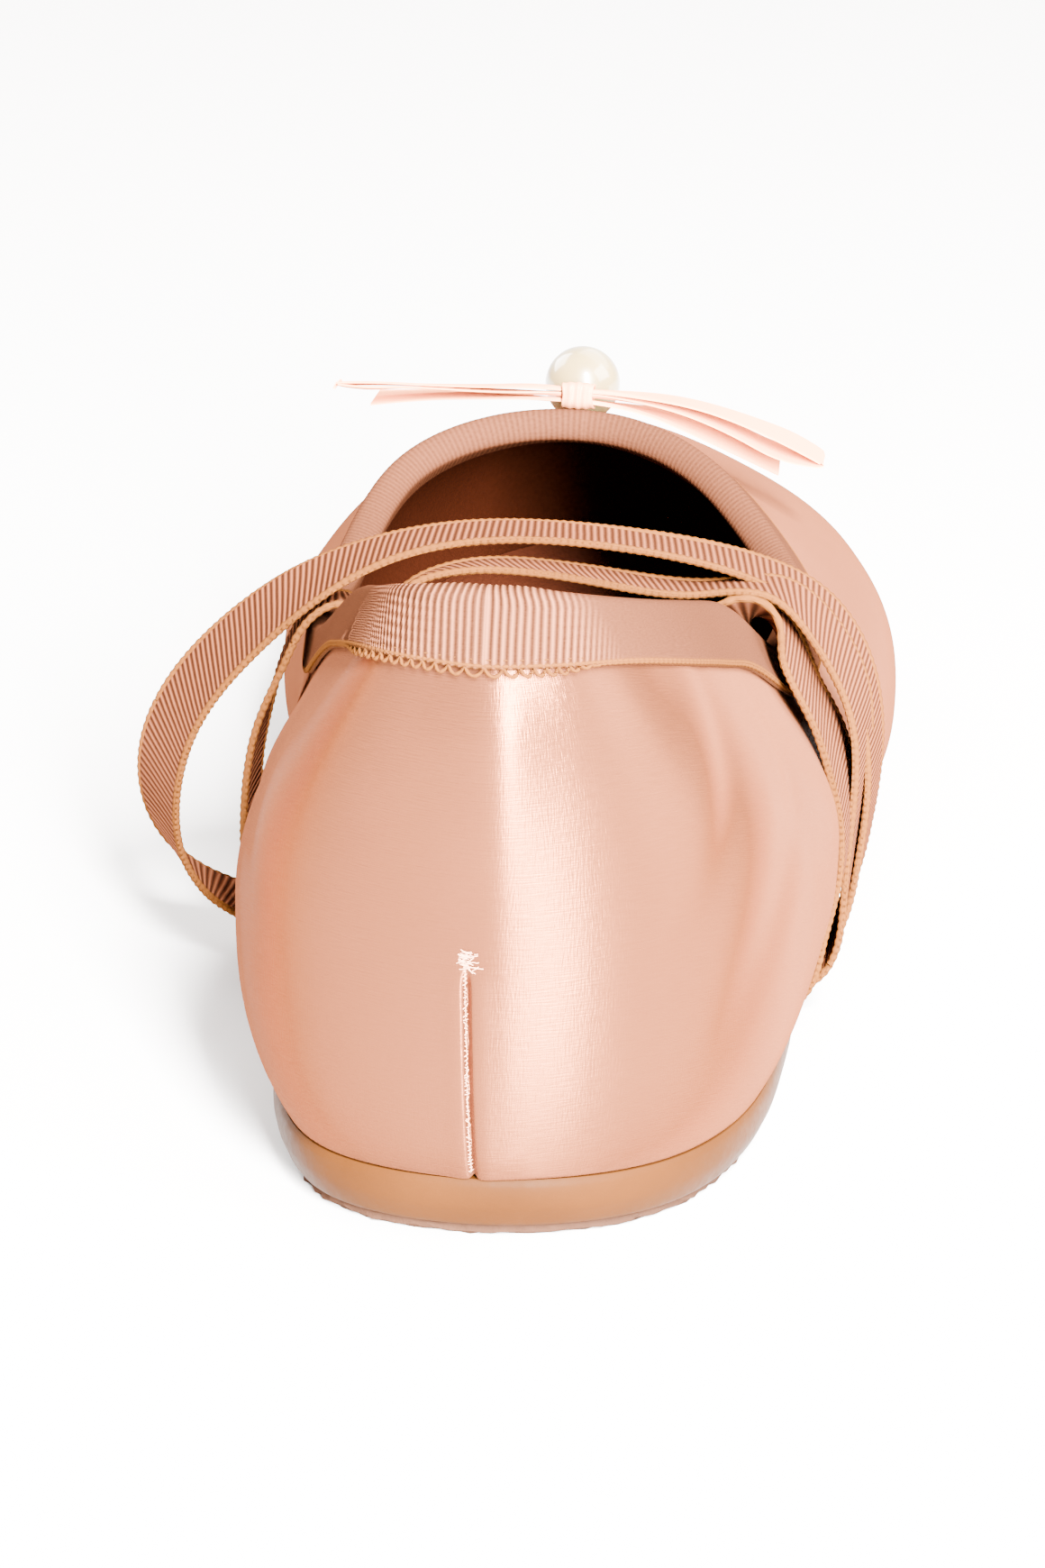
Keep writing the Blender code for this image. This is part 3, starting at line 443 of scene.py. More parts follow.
def open_curve(places, at):
    """Points on the smooth cubic through a row of points, at shares of its length."""
    places = np.asarray(places, float)
    count = len(places)
    chord = np.linalg.norm(np.diff(places[:, :3], axis=0), axis=1)
    knots = np.concatenate([[0], np.cumsum(chord)])
    system = np.eye(count)
    bend = np.zeros(places.shape)
    for i in range(1, count - 1):
        system[i, i - 1] = chord[i - 1]
        system[i, i] = 2 * (chord[i - 1] + chord[i])
        system[i, i + 1] = chord[i]
        grade = (places[i + 1] - places[i]) / chord[i] - (places[i] - places[i - 1]) / chord[i - 1]
        bend[i] = 6 * grade
    moment = np.linalg.solve(system, bend)
    at = np.asarray(at) * knots[-1]
    i = np.clip(np.searchsorted(knots, at, "right") - 1, 0, count - 2)
    return on_cubic(places, moment, i, i + 1, chord[i][:, None], (at - knots[i])[:, None])


def smooth_line(places, values, at):
    """A smooth line through values that never swings past them."""
    places = np.asarray(places, float)
    values = np.asarray(values, float)
    run = np.diff(places)
    grade = np.diff(values) / run
    slope = np.zeros(len(places))
    same = grade[:-1] * grade[1:] > 0
    slope[1:-1][same] = 2 * grade[:-1][same] * grade[1:][same] / (grade[:-1] + grade[1:])[same]
    slope[-1] = grade[-1]
    at = np.clip(at, places[0], places[-1])
    i = np.clip(np.searchsorted(places, at, "right") - 1, 0, len(places) - 2)
    t = (at - places[i]) / run[i]
    start = (2 * t**3 - 3 * t**2 + 1) * values[i] + (t**3 - 2 * t**2 + t) * run[i] * slope[i]
    end = (3 * t**2 - 2 * t**3) * values[i + 1] + (t**3 - t**2) * run[i] * slope[i + 1]
    return start + end


def walk_height(y):
    """Height of the sole sheet's underside at y, before the heel is added."""
    sizes = {"heel": HEEL_HEIGHT - SOLE_THICKNESS, "arch": ARCH_RISE, "spring": TOE_SPRING}
    walk = by_column(WALK_LINE, WALK_COLUMNS)
    height = sum(walk[name] * size for name, size in sizes.items())
    return smooth_line(walk["along"], height, y / LENGTH + 0.5)


def sole_top(y):
    """Height of the sole's top face at y."""
    return walk_height(y) + SOLE_THICKNESS


def sole_under(y):
    """Height of the sole's underside at y, with the heel down to its lift."""
    share = np.clip((y - BACK - HEEL_LENGTH) / BREAST_RUN, 0, 1)
    return (1 - share) * (LIFT_THICKNESS + GAP) + share * walk_height(y)


def bezier(a, b, c, d, t):
    """Point at t on a cubic Bezier curve."""
    return a * (1 - t)**3 + b * 3 * t * (1 - t)**2 + c * 3 * t * t * (1 - t) + d * t**3


def last_sections(around):
    """The last's own lines at evenly spread columns."""
    widths = {"heel": HEEL_WIDTH, "ball": BALL_WIDTH}
    heights = {"back": BACK_HEIGHT, "side": SIDE_HEIGHT, "throat": THROAT_HEIGHT}
    get = by_column(SECTIONS, SECTION_COLUMNS)
    width = np.array([widths[name] for name in get["width"]])
    height = np.array([heights[name] for name in get["height"]])
    lines = {
        "wide_x": width * get["wide_x"],
        "wide_y": (get["wide_along"] - 0.5) * LENGTH,
        "wide_up": height * get["wide_up"],
        "inset": FEATHER_INSET * get["inset"],
        "top_x": width * get["top_x"],
        "top_y": (get["top_along"] - 0.5) * LENGTH,
        "top_up": height * get["top_up"],
        "rise": get["rise"],
        "slope": np.radians(get["slope"]),
        "reach": get["reach"],
    }
    chord = np.hypot(np.roll(lines["wide_x"], -1) - lines["wide_x"],
                     np.roll(lines["wide_y"], -1) - lines["wide_y"])
    knots = np.concatenate([[0], np.cumsum(chord)])
    shares = np.arange(around) / around if np.ndim(around) == 0 else around
    at = shares * knots[-1]
    return {name: ring_curve(knots, values, at) for name, values in lines.items()}


def plan_normals(x, y):
    """Outward unit normals in plan of a closed line that runs from the outer side over the toe."""
    along = np.stack([np.roll(x, -1) - np.roll(x, 1), np.roll(y, -1) - np.roll(y, 1)], 1)
    along /= np.linalg.norm(along, axis=1)[:, None]
    return np.stack([along[:, 1], -along[:, 0]], 1)


def last_surface(around, rows):
    """Points of the upper's outer face, rows from the feather edge up to the topline, and plan normals."""
    line = last_sections(around)
    out = plan_normals(line["wide_x"], line["wide_y"])
    feather_x = line["wide_x"] - out[:, 0] * line["inset"]
    feather_y = line["wide_y"] - out[:, 1] * line["inset"]
    feather = np.stack([feather_x, feather_y, sole_top(feather_y) + GAP], 1)
    widest = np.stack([line["wide_x"], line["wide_y"], sole_top(line["wide_y"]) + line["wide_up"]], 1)
    top = np.stack([line["top_x"], line["top_y"], sole_top(line["top_y"]) + line["top_up"]], 1)
    up = np.array([0, 0, 1.0])
    low = (widest - feather)[:, 2:]
    high = (top - widest)[:, 2:]
    inward = (top - widest)[:, :2]
    inward /= np.linalg.norm(inward, axis=1)[:, None]
    arrive = np.concatenate([inward * np.cos(line["slope"])[:, None], np.sin(line["slope"])[:, None]], 1)
    span = np.linalg.norm(top - widest, axis=1)
    foot = np.concatenate([out * (line["inset"] * FOOT_OUT_SHARE)[:, None], low * FOOT_UP_SHARE], 1)
    low_curve = (feather, feather + foot, widest - up * low * WIDEST_DROP_SHARE, widest)
    high_curve = (widest, widest + up * high * line["rise"][:, None],
                  top - arrive * (line["reach"] * span)[:, None], top)
    grid = []
    for share in np.linspace(0, 1, rows + 1):
        if share <= LOW_PART:
            grid.append(bezier(*low_curve, share / LOW_PART))
        else:
            grid.append(bezier(*high_curve, (share - LOW_PART) / (1 - LOW_PART)))
    return np.array(grid), out


def surface_normals(grid):
    """Outward unit normals of a grid of rows up the wall by columns round the shoe."""
    around = np.roll(grid, -1, axis=1) - np.roll(grid, 1, axis=1)
    upward = np.gradient(grid, axis=0)
    normal = np.cross(around, upward)
    return normal / np.linalg.norm(normal, axis=2)[..., None]


def fine_surface(around, rows):
    """Outer face in fine rows from the topline down, its normals, and the distance below the topline."""
    grid, _ = last_surface(around, rows)
    normal = surface_normals(grid)[::-1]
    grid = grid[::-1]
    step = np.linalg.norm(np.diff(grid, axis=0), axis=2)
    depth = np.concatenate([np.zeros((1, grid.shape[1])), np.cumsum(step, axis=0)])
    return grid, normal, depth


def at_depth(surface, below, offset):
    """Loop round the shoe at distances below the topline, moved out from the outer face."""
    grid, normal, depth = surface
    below = np.broadcast_to(below, grid.shape[1])
    loop = np.zeros((grid.shape[1], 3))
    offset = np.broadcast_to(offset, grid.shape[1])
    for j in range(grid.shape[1]):
        for k in range(3):
            place = np.interp(below[j], depth[:, j], grid[:, j, k])
            loop[j, k] = place + offset[j] * np.interp(below[j], depth[:, j], normal[:, j, k])
    return loop


def ring_length(loop):
    """Distance along a closed loop to each of its points, and its whole length."""
    step = np.linalg.norm(np.roll(loop, -1, axis=0) - loop, axis=1)
    return np.concatenate([[0], np.cumsum(step)[:-1]]), step.sum()


# Materials
def new_material(name):
    """A material with its node tree and shader."""
    material = bpy.data.materials.new(name)
    material.use_nodes = True
    tree = material.node_tree
    return material, tree, tree.nodes["Principled BSDF"]


def feed(tree, socket, value):
    """Link a socket to an output, or set its number or colour."""
    if hasattr(value, "links"):
        tree.links.new(value, socket)
    else:
        socket.default_value = (*value, 1) if isinstance(value, tuple) else value


def maths(tree, operation, a, b=0.0, c=0.0, clamp=False):
    """One maths node."""
    made = tree.nodes.new("ShaderNodeMath")
    made.operation = operation
    made.use_clamp = clamp
    for socket, value in zip(made.inputs, (a, b, c)):
        feed(tree, socket, value)
    return made.outputs[0]


def blend_colour(tree, factor, a, b):
    """One colour mix."""
    made = tree.nodes.new("ShaderNodeMix")
    made.data_type = "RGBA"
    for index, value in ((0, factor), (6, a), (7, b)):
        feed(tree, made.inputs[index], value)
    return made.outputs[2]


def attribute(tree, name):
    """The outputs of a node that reads one of the piece's own attributes."""
    made = tree.nodes.new("ShaderNodeAttribute")
    made.attribute_name = name
    return made.outputs


def weave_place(tree, scale):
    """The surface's own place along and across the weave, scaled."""
    mapping = tree.nodes.new("ShaderNodeMapping")
    tree.links.new(attribute(tree, "weave")["Vector"], mapping.inputs["Vector"])
    mapping.inputs["Scale"].default_value = scale
    return mapping.outputs["Vector"]


def weave_parts(tree):
    """The surface's own place along and across, and where its edge is, as three numbers."""
    parts = tree.nodes.new("ShaderNodeSeparateXYZ")
    tree.links.new(attribute(tree, "weave")["Vector"], parts.inputs[0])
    return parts.outputs


def object_place(tree):
    """Object coordinates."""
    return tree.nodes.new("ShaderNodeTexCoord").outputs["Object"]


def noise(tree, vector, scale, detail=3.0, rough=0.5):
    """A noise value."""
    made = tree.nodes.new("ShaderNodeTexNoise")
    made.inputs["Scale"].default_value = scale
    made.inputs["Detail"].default_value = detail
    made.inputs["Roughness"].default_value = rough
    tree.links.new(vector, made.inputs["Vector"])
    return made.outputs["Fac"]


def bump(tree, shader, height, distance, strength):
    """Relief of a height value on the shader's normal."""
    made = tree.nodes.new("ShaderNodeBump")
    made.inputs["Distance"].default_value = distance
    made.inputs["Strength"].default_value = strength
    tree.links.new(height, made.inputs["Height"])
    tree.links.new(made.outputs["Normal"], shader.inputs["Normal"])


def set_uniform(shader, values):
    """Values that are the same all over the surface, on the shader's own sockets."""
    for name, value in values.items():
        shader.inputs[name].default_value = value


def satin_material(name, pale, deep, roughness=0.37, shine=0.75):
    """Satin: fine crosswise threads, a soft sheen drawn out up and down across them."""
    material, tree, shader = new_material(name)
    threads = noise(tree, weave_place(tree, SATIN_THREADS), 1.0, 2.0)
    warp = noise(tree, weave_place(tree, SATIN_WARP), 1.0, 1.0)
    cloud = noise(tree, object_place(tree), 38.0, 3.0)
    tone = maths(tree, "MULTIPLY_ADD", threads, 0.4, maths(tree, "MULTIPLY", cloud, 0.6))
    tree.links.new(blend_colour(tree, tone, deep, pale), shader.inputs["Base Color"])
    gloss = maths(tree, "MULTIPLY_ADD", threads, 0.16, roughness - 0.08)
    tree.links.new(gloss, shader.inputs["Roughness"])
    edge_on = tree.nodes.new("ShaderNodeLayerWeight").outputs["Facing"]
    sheen = maths(tree, "MULTIPLY_ADD", edge_on, SHEEN_FADE, SHEEN_START, clamp=True)
    tree.links.new(maths(tree, "MULTIPLY", sheen, shine), shader.inputs["Metallic"])
    set_uniform(shader, {"Specular Tint": SATIN_TINT, "Specular IOR Level": 0.0,
                         "Anisotropic": 0.9, "Anisotropic Rotation": 0.25})
    tangent = tree.nodes.new("ShaderNodeTangent")
    tangent.direction_type = "RADIAL"
    tangent.axis = "Z"
    tree.links.new(tangent.outputs[0], shader.inputs["Tangent"])
    bump(tree, shader, maths(tree, "MULTIPLY_ADD", warp, 0.35, threads), 0.00006, 0.8)
    return material


def grosgrain_material(name, pale, deep, fading=False):
    """Ribbed ribbon: ribs across its length with painted shade in the grooves between them, and tan edges
    where the third number is one.
    """
    material, tree, shader = new_material(name)
    along, _, rim = weave_parts(tree)
    turns = maths(tree, "MULTIPLY", along, 2 * math.pi / RIB_PITCH)
    wobble = maths(tree, "MULTIPLY", noise(tree, weave_place(tree, RIB_WOBBLE), 1.0, 2.0), 0.9)
    rib = maths(tree, "SINE", maths(tree, "ADD", turns, wobble))
    rib = maths(tree, "MULTIPLY_ADD", rib, 0.5, 0.5)
    fine = noise(tree, weave_place(tree, RIBBON_FINE), 1.0, 2.0)
    # The colour runs from the pale tone on the rib crests to the deep tone in the grooves: painted shade
    # between the ribs
    tone = maths(tree, "MULTIPLY_ADD", fine, 0.18, maths(tree, "MULTIPLY", rib, 0.82))
    if fading:
        strength = attribute(tree, "ribbing")["Fac"]
        # Where the ribs fade the cloth takes a darker plain tone: painted shade, set for the binding's
        # shaded inner end, and it darkens the throat and the heel's outer side alike
        plain = maths(tree, "MULTIPLY_ADD", fine, 0.22, 0.14)
        tone = maths(tree, "ADD", maths(tree, "MULTIPLY", tone, strength),
                     maths(tree, "MULTIPLY", plain, maths(tree, "SUBTRACT", 1.0, strength)))
        rib = maths(tree, "MULTIPLY", rib, strength)
    cloth = blend_colour(tree, tone, deep, pale)
    thread = noise(tree, weave_place(tree, RIM_THREADS), 1.0, 1.0)
    tan = blend_colour(tree, thread, tuple(v * 0.78 for v in EDGE_TAN), EDGE_TAN)
    tree.links.new(blend_colour(tree, rim, cloth, tan), shader.inputs["Base Color"])
    set_uniform(shader, {"Roughness": 0.6, "Specular IOR Level": 0.0})
    bump(tree, shader, maths(tree, "MULTIPLY_ADD", fine, 0.25, rib), 0.00022, 0.9)
    return material


def leather_material(name, pale, deep, roughness, grain, scale):
    """Leather with its grain and a few darker marks."""
    material, tree, shader = new_material(name)
    place = object_place(tree)
    cloud = noise(tree, place, 60.0, 4.0, 0.6)
    fine = noise(tree, place, scale, 3.0, 0.6)
    tree.links.new(blend_colour(tree, cloud, deep, pale), shader.inputs["Base Color"])
    tree.links.new(maths(tree, "MULTIPLY_ADD", fine, 0.25, roughness - 0.12), shader.inputs["Roughness"])
    shader.inputs["Specular IOR Level"].default_value = 0.02
    bump(tree, shader, fine, grain, 0.8)
    return material


def cloth_material(name, pale, deep):
    """A plain matt cloth."""
    material, tree, shader = new_material(name)
    place = object_place(tree)
    fine = noise(tree, place, 1600.0, 2.0)
    cloud = noise(tree, place, 70.0, 3.0)
    tone = maths(tree, "MULTIPLY_ADD", fine, 0.5, maths(tree, "MULTIPLY", cloud, 0.5))
    tree.links.new(blend_colour(tree, tone, deep, pale), shader.inputs["Base Color"])
    set_uniform(shader, {"Roughness": 0.85, "Specular IOR Level": 0.0})
    bump(tree, shader, fine, 0.00012, 0.7)
    return material


def pearl_material(name):
    """Ivory pearl: a soft body under a clear glossy coat."""
    material, tree, shader = new_material(name)
    place = object_place(tree)
    cloud = noise(tree, place, 160.0, 3.0)
    tree.links.new(blend_colour(tree, cloud, PEARL_DEEP, PEARL_PALE), shader.inputs["Base Color"])
    set_uniform(shader, {"Roughness": 0.32, "Coat Weight": 1.0, "Coat Roughness": 0.06,
                         "Subsurface Weight": 0.15, "Subsurface Radius": (0.002, 0.0015, 0.001)})
    bump(tree, shader, noise(tree, place, 500.0, 2.0), 0.00002, 0.5)
    return material


def thread_material(name, colour):
    """Sewing thread with its twist."""
    material, tree, shader = new_material(name)
    fine = noise(tree, object_place(tree), 3000.0, 1.0)
    dark = tuple(v * 0.8 for v in colour)
    tree.links.new(blend_colour(tree, fine, dark, colour), shader.inputs["Base Color"])
    set_uniform(shader, {"Roughness": 0.6, "Specular IOR Level": 0.0})
    bump(tree, shader, fine, 0.00005, 0.6)
    return material


# Mesh building
def make_piece(name, points, faces, materials, weave=None, slots=None, sharp=60, ribbing=None):
    """One named piece with its own place numbers for the weave."""
    mesh = bpy.data.meshes.new(name)
    mesh.from_pydata(np.asarray(points, float).tolist(), [], [tuple(map(int, face)) for face in faces])
    mesh.update()
    mesh.shade_smooth()
    mesh.set_sharp_from_angle(angle=math.radians(sharp))
    for material in materials:
        mesh.materials.append(material)
    if slots is not None:
        mesh.polygons.foreach_set("material_index", np.asarray(slots, dtype=np.int32))
    if weave is not None:
        layer = mesh.attributes.new("weave", "FLOAT_VECTOR", "POINT")
        layer.data.foreach_set("vector", np.asarray(weave, dtype=np.float32).ravel())
    if ribbing is not None:
        layer = mesh.attributes.new("ribbing", "FLOAT", "POINT")
        layer.data.foreach_set("value", np.asarray(ribbing, dtype=np.float32).ravel())
    thing = add_object(name, mesh)
    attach(thing, "root")
    return thing


def tube_faces(rings, count, closed_rings=True, flip=False):
    """Faces between closed loops of equal length."""
    i = np.arange(rings if closed_rings else rings - 1)[:, None]
    j = np.arange(count)[None, :]
    a = i * count + j
    b = i * count + (j + 1) % count
    c = (i + 1) % rings * count + (j + 1) % count
    d = (i + 1) % rings * count + j
    faces = np.stack([a, d, c, b] if flip else [a, b, c, d], -1)
    return faces.reshape(-1, 4)


# Upper
def bell(x, half):
    """A soft bell of height one."""
    return np.exp(-(x / half)**2)


def crease_lift(points, up_share):
    """Soft troughs and ridges of the satin, placed along the quarters."""
    lift = np.zeros(points.shape[:2])
    along = (points[..., 1] - BACK) / LENGTH
    side = np.sign(points[..., 0])
    for which, place, up, run, climb, half, depth in CREASES:
        t = np.clip((along - place) / run, -1, 1)
        gap = (up_share - up - climb * t) * BACK_HEIGHT * CREASE_FLATTER
        fade = np.clip(1 - t**2, 0, 1)**1.5
        shape = RIDGE_SHARE * bell(gap - RIDGE_ABOVE * half, RIDGE_WIDER * half) - bell(gap, half)
        lift += np.where((side == which) & (np.abs(along - place) < run), shape * fade * depth, 0)
    return lift


def seam_x(up_share):
    """Where the sewn back seam runs, from side to side."""
    return SEAM_PLACE + SEAM_LEAN * (up_share - 0.2)


def seam_dip(points, up_share):
    """The groove of the back seam up to its bar tack, and the soft ridge of the turnings beside it."""
    x = points[..., 0] - seam_x(up_share)
    back = points[..., 1] < BACK + 0.03
    reach = np.clip((SEAM_TOP - up_share) / 0.03, 0, 1)
    groove = -SEAM_DEPTH * bell(x, SEAM_HALF)
    pillow = PILLOW_HEIGHT * bell(np.abs(x) - PILLOW_PLACE, PILLOW_HALF)
    away = np.hypot(points[..., 0] - RIDGE_PLACE, RIDGE_ROUND)
    ridge = RIDGE_SLOPE * RIDGE_REACH * np.exp(-away / RIDGE_REACH)
    ridge = ridge * np.clip((0.88 - up_share) / 0.1, 0, 1) * np.clip(0.5 + up_share / 0.1, 0, 1)
    return np.where(back, (groove + pillow) * reach + ridge, 0)


def upper_places():
    """Shares of the way round the shoe, crowded together at the back seam."""
    wide = np.linspace(HEEL_SHARE, 1 - HEEL_SHARE, UPPER_AROUND)
    near = np.linspace(-HEEL_SHARE, HEEL_SHARE, HEEL_COLUMNS + 2)[1:-1]
    return np.concatenate([near[near >= 0], wide, near[near < 0] + 1])


def make_upper(satin, lining):
    """The satin upper over its last, with lining inside, whose colour is darkened with painted shade."""
    places = upper_places()
    columns = len(places)
    surface = fine_surface(places, UPPER_FINE_ROWS)
    whole = surface[2][-1]
    spread = 1 - (1 - np.linspace(0, 1, UPPER_ROWS))**1.15
    outer = []
    weave = []
    around, circuit = ring_length(at_depth(surface, whole * 0.5, 0))
    around = np.minimum(around, circuit - around)
    for share in spread:
        outer.append(at_depth(surface, whole * share, 0))
        weave.append(np.stack([around, whole * share, np.zeros(columns)], 1))
    outer = np.array(outer)
    up_share = 1 - np.repeat(spread[:, None], columns, 1)
    normal = -surface_normals(outer)
    lift = crease_lift(outer, up_share) + seam_dip(outer, up_share)
    outer = outer + normal * lift[..., None]
    inner = [at_depth(surface, whole * share, -WALL) for share in spread[:-1:3]]
    last = outer[-1] - np.concatenate([last_surface(places, 1)[1] * WALL, np.zeros((columns, 1))], 1)
    inner.append(last)
    loops = [*outer[::-1], *inner]
    marks = [*weave[::-1], *[weave[0]] * len(inner)]
    faces = tube_faces(len(loops), columns)
    slots = np.zeros(len(faces), dtype=int)
    slots[columns * (len(outer) - 1):] = 1
    piece = make_piece("satin_upper", np.concatenate(loops), faces, [satin, lining],
                       np.concatenate(marks), slots)
    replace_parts(piece, "upper")
    return piece


def make_seam_stitches(upper, thread):
    """Pale stitches along the back seam and the fuzzy bar tack at its top."""
    mesh = upper.data
    tree = BVHTree.FromPolygons([v.co for v in mesh.vertices], [list(f.vertices) for f in mesh.polygons])
    bottom = sole_top(BACK + 0.004)
    rng = np.random.default_rng(7)
    paths = []

    def on_back(x, z):
        hit, normal, _, _ = tree.ray_cast(Vector((x, BACK - 0.05, z)), Vector((0, 1, 0)))
        return hit, normal

    def lay_thread(x, z, half, tilt, steps, rise):
        path = []
        for t in np.linspace(-1, 1, steps):
            hit, normal = on_back(x + t * half, z + tilt * t)
            if hit is not None:
                path.append(hit + normal * rise(1 - t * t))
        if len(path) == steps:
            paths.append(path)

    for up_share in np.arange(0.02, SEAM_TOP, STITCH_PITCH / BACK_HEIGHT):
        slant = 0.00016 * rng.standard_normal()
        half = 0.00008 + 0.00016 * rng.random()
        lay_thread(seam_x(up_share) - STITCH_ASIDE, bottom + up_share * BACK_HEIGHT, half, slant, 5,
                   lambda crown: 0.00002 + 0.00008 * crown)
    cord = []
    for up_share in np.arange(0.015, SEAM_TOP, CORD_PITCH):
        x = seam_x(up_share) - CORD_ASIDE + 0.00006 * rng.standard_normal()
        hit, normal = on_back(x, bottom + up_share * BACK_HEIGHT)
        if hit is not None:
            cord.append(hit + normal * 0.00004)
    paths.append(cord)
    for _ in range(TACK_THREADS):
        up_share = SEAM_TOP - 0.006 + 0.034 * rng.random()
        middle = seam_x(up_share) + 0.0001 + 0.00045 * rng.standard_normal()
        half = 0.00018 + 0.0004 * rng.random()
        tilt = 0.0002 * rng.standard_normal()
        lay_thread(middle, bottom + up_share * BACK_HEIGHT, half, tilt, 6,
                   lambda crown: 0.00006 + 0.00022 * rng.random() * crown)
    piece = sweep("seam_stitches", paths, SEAM_THREAD_RADIUS, thread, sides=5)


# Binding
def ribbed_share(loop):
    """How strongly the binding is ribbed: plain on the outer side of the heel, faint at the throat; where
    the ribs fade, the cloth is darkened with painted shade.
    """
    x = loop[:, 0]
    along = loop[:, 1] - BACK
    outside = np.clip((x - 0.0078) / 0.004, 0, 1)
    inside = np.clip((-0.0140 - x) / 0.002, 0, 1)
    heel = (1 - outside) * (1 - inside)
    side = np.clip((along - 0.03) / 0.02, 0, 1)
    return heel * (1 - side) + 0.15 * side


def upright(loop, line, along, whole):
    """Places along the binding, taken straight up and down over the back of the heel."""
    turned = np.where(along > whole / 2, along - whole, along)
    back = np.where((np.abs(line[:, 0]) < 0.022) & (line[:, 1] < BACK + 0.03))[0]
    order = back[np.argsort(line[back, 0])]
    straight = np.interp(loop[:, 0], line[order, 0], turned[order])
    share = np.clip((0.020 - np.abs(loop[:, 0])) / 0.003, 0, 1) * (loop[:, 1] < BACK + 0.03)
    return np.abs(straight * share + turned * (1 - share))


def make_binding(grosgrain, thread):
    """Ribbed binding folded over the collar, with a scalloped thread edge and its stitches."""
    surface = fine_surface(BINDING_AROUND, BINDING_FINE_ROWS)
    grid = surface[0]
    skin = GAP + BINDING_THICKNESS
    upward = grid[0] - grid[1]
    upward /= np.linalg.norm(upward, axis=1)[:, None]
    middle_line = at_depth(surface, BINDING_OUTSIDE / 2, 0)
    along, whole = ring_length(middle_line)
    pitch = whole / round(whole / RIB_PITCH)
    strength = ribbed_share(middle_line)
    loops = []
    places = []

    def rib_at(below, offset):
        place = upright(at_depth(surface, below, offset), middle_line, along, whole)
        return place, RIB_HEIGHT * np.cos(2 * math.pi * place / pitch) * strength

    def ring(below, offset, relief=0.0, rim=0.0):
        place, rib = rib_at(below, offset)
        loops.append(at_depth(surface, below, offset + rib * relief))
        drop = below if offset > 0 else -below
        places.append(np.stack([place, np.full(len(along), drop), np.full(len(along), rim)], 1))

    ring(BINDING_OUTSIDE, skin - 0.0004, rim=0.6)
    ring(BINDING_OUTSIDE - 0.0002, skin, relief=0.4, rim=0.6)
    for share in (0.88, 0.72, 0.56, 0.4, 0.24, 0.1):
        swell = BINDING_SWELL * math.sin(math.pi * share)
        ring(BINDING_OUTSIDE * share, skin + swell, relief=1.0)
    for turn in np.linspace(0.0, math.pi, 9):
        middle = -WALL / 2
        reach = WALL / 2 + skin
        place = middle + reach * math.cos(turn)
        rise = (skin + 0.0002) * math.sin(turn)
        straight, rib = rib_at(0.0003, place)
        loop = at_depth(surface, 0.0003, place + rib * math.cos(turn) * 0.9)
        loops.append(loop + upward * (0.0003 + rise + rib * math.sin(turn) * 0.9)[:, None])
        places.append(np.stack([straight, np.full(len(along), -0.001 * turn), np.zeros(len(along))], 1))
    for share in (0.3, 0.65):
        ring(BINDING_INSIDE * share, -WALL - skin, relief=-1.0)
    ring(BINDING_INSIDE, -WALL - skin, relief=-0.4)
    ring(BINDING_INSIDE, -WALL - GAP)
    ring(0.0004, -WALL - GAP)
    ring(0.0004, GAP)
    ring(BINDING_OUTSIDE, GAP)
    faces = tube_faces(len(loops), BINDING_AROUND)
    piece = make_piece("ribbed_binding", np.concatenate(loops), faces, [grosgrain], np.concatenate(places),
                       ribbing=np.tile(strength, len(loops)))
    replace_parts(piece, "topline_binding")
    make_picot(surface, along, whole, thread)


def directions(path, closed):
    """Unit directions along a path."""
    if closed:
        tangent = np.roll(path, -1, axis=0) - np.roll(path, 1, axis=0)
    else:
        tangent = np.gradient(path, axis=0)
    return tangent / (np.linalg.norm(tangent, axis=1)[:, None] + 1e-12)


def end_caps(base, rings, count):
    """The two end faces of an open tube whose points start at base."""
    last = base + (rings - 1) * count
    return [list(range(base, base + count)), list(range(last, last + count))[::-1]]


def sweep(name, paths, radius, material, sides=6, closed=False):
    """Round threads along several paths, as one piece."""
    points = []
    faces = []
    base = 0
    turn = np.arange(sides) / sides * 2 * math.pi
    for path in paths:
        path = np.asarray(path, float)
        tangent = directions(path, closed)
        helper = np.where(np.abs(tangent[:, 2:3]) > 0.9, [[1.0, 0, 0]], [[0, 0, 1.0]])
        side = np.cross(tangent, helper)
        side /= np.linalg.norm(side, axis=1)[:, None]
        other = np.cross(tangent, side)
        size = np.broadcast_to(radius, len(path))[:, None, None]
        ring = (path[:, None] + size * (side[:, None] * np.cos(turn)[None, :, None]
                                        + other[:, None] * np.sin(turn)[None, :, None]))
        points.append(ring.reshape(-1, 3))
        faces.extend((tube_faces(len(path), sides, closed, flip=True) + base).tolist())
        if not closed:
            faces.extend(end_caps(base, len(path), sides))
        base += len(path) * sides
    return make_piece(name, np.concatenate(points), faces, [material])


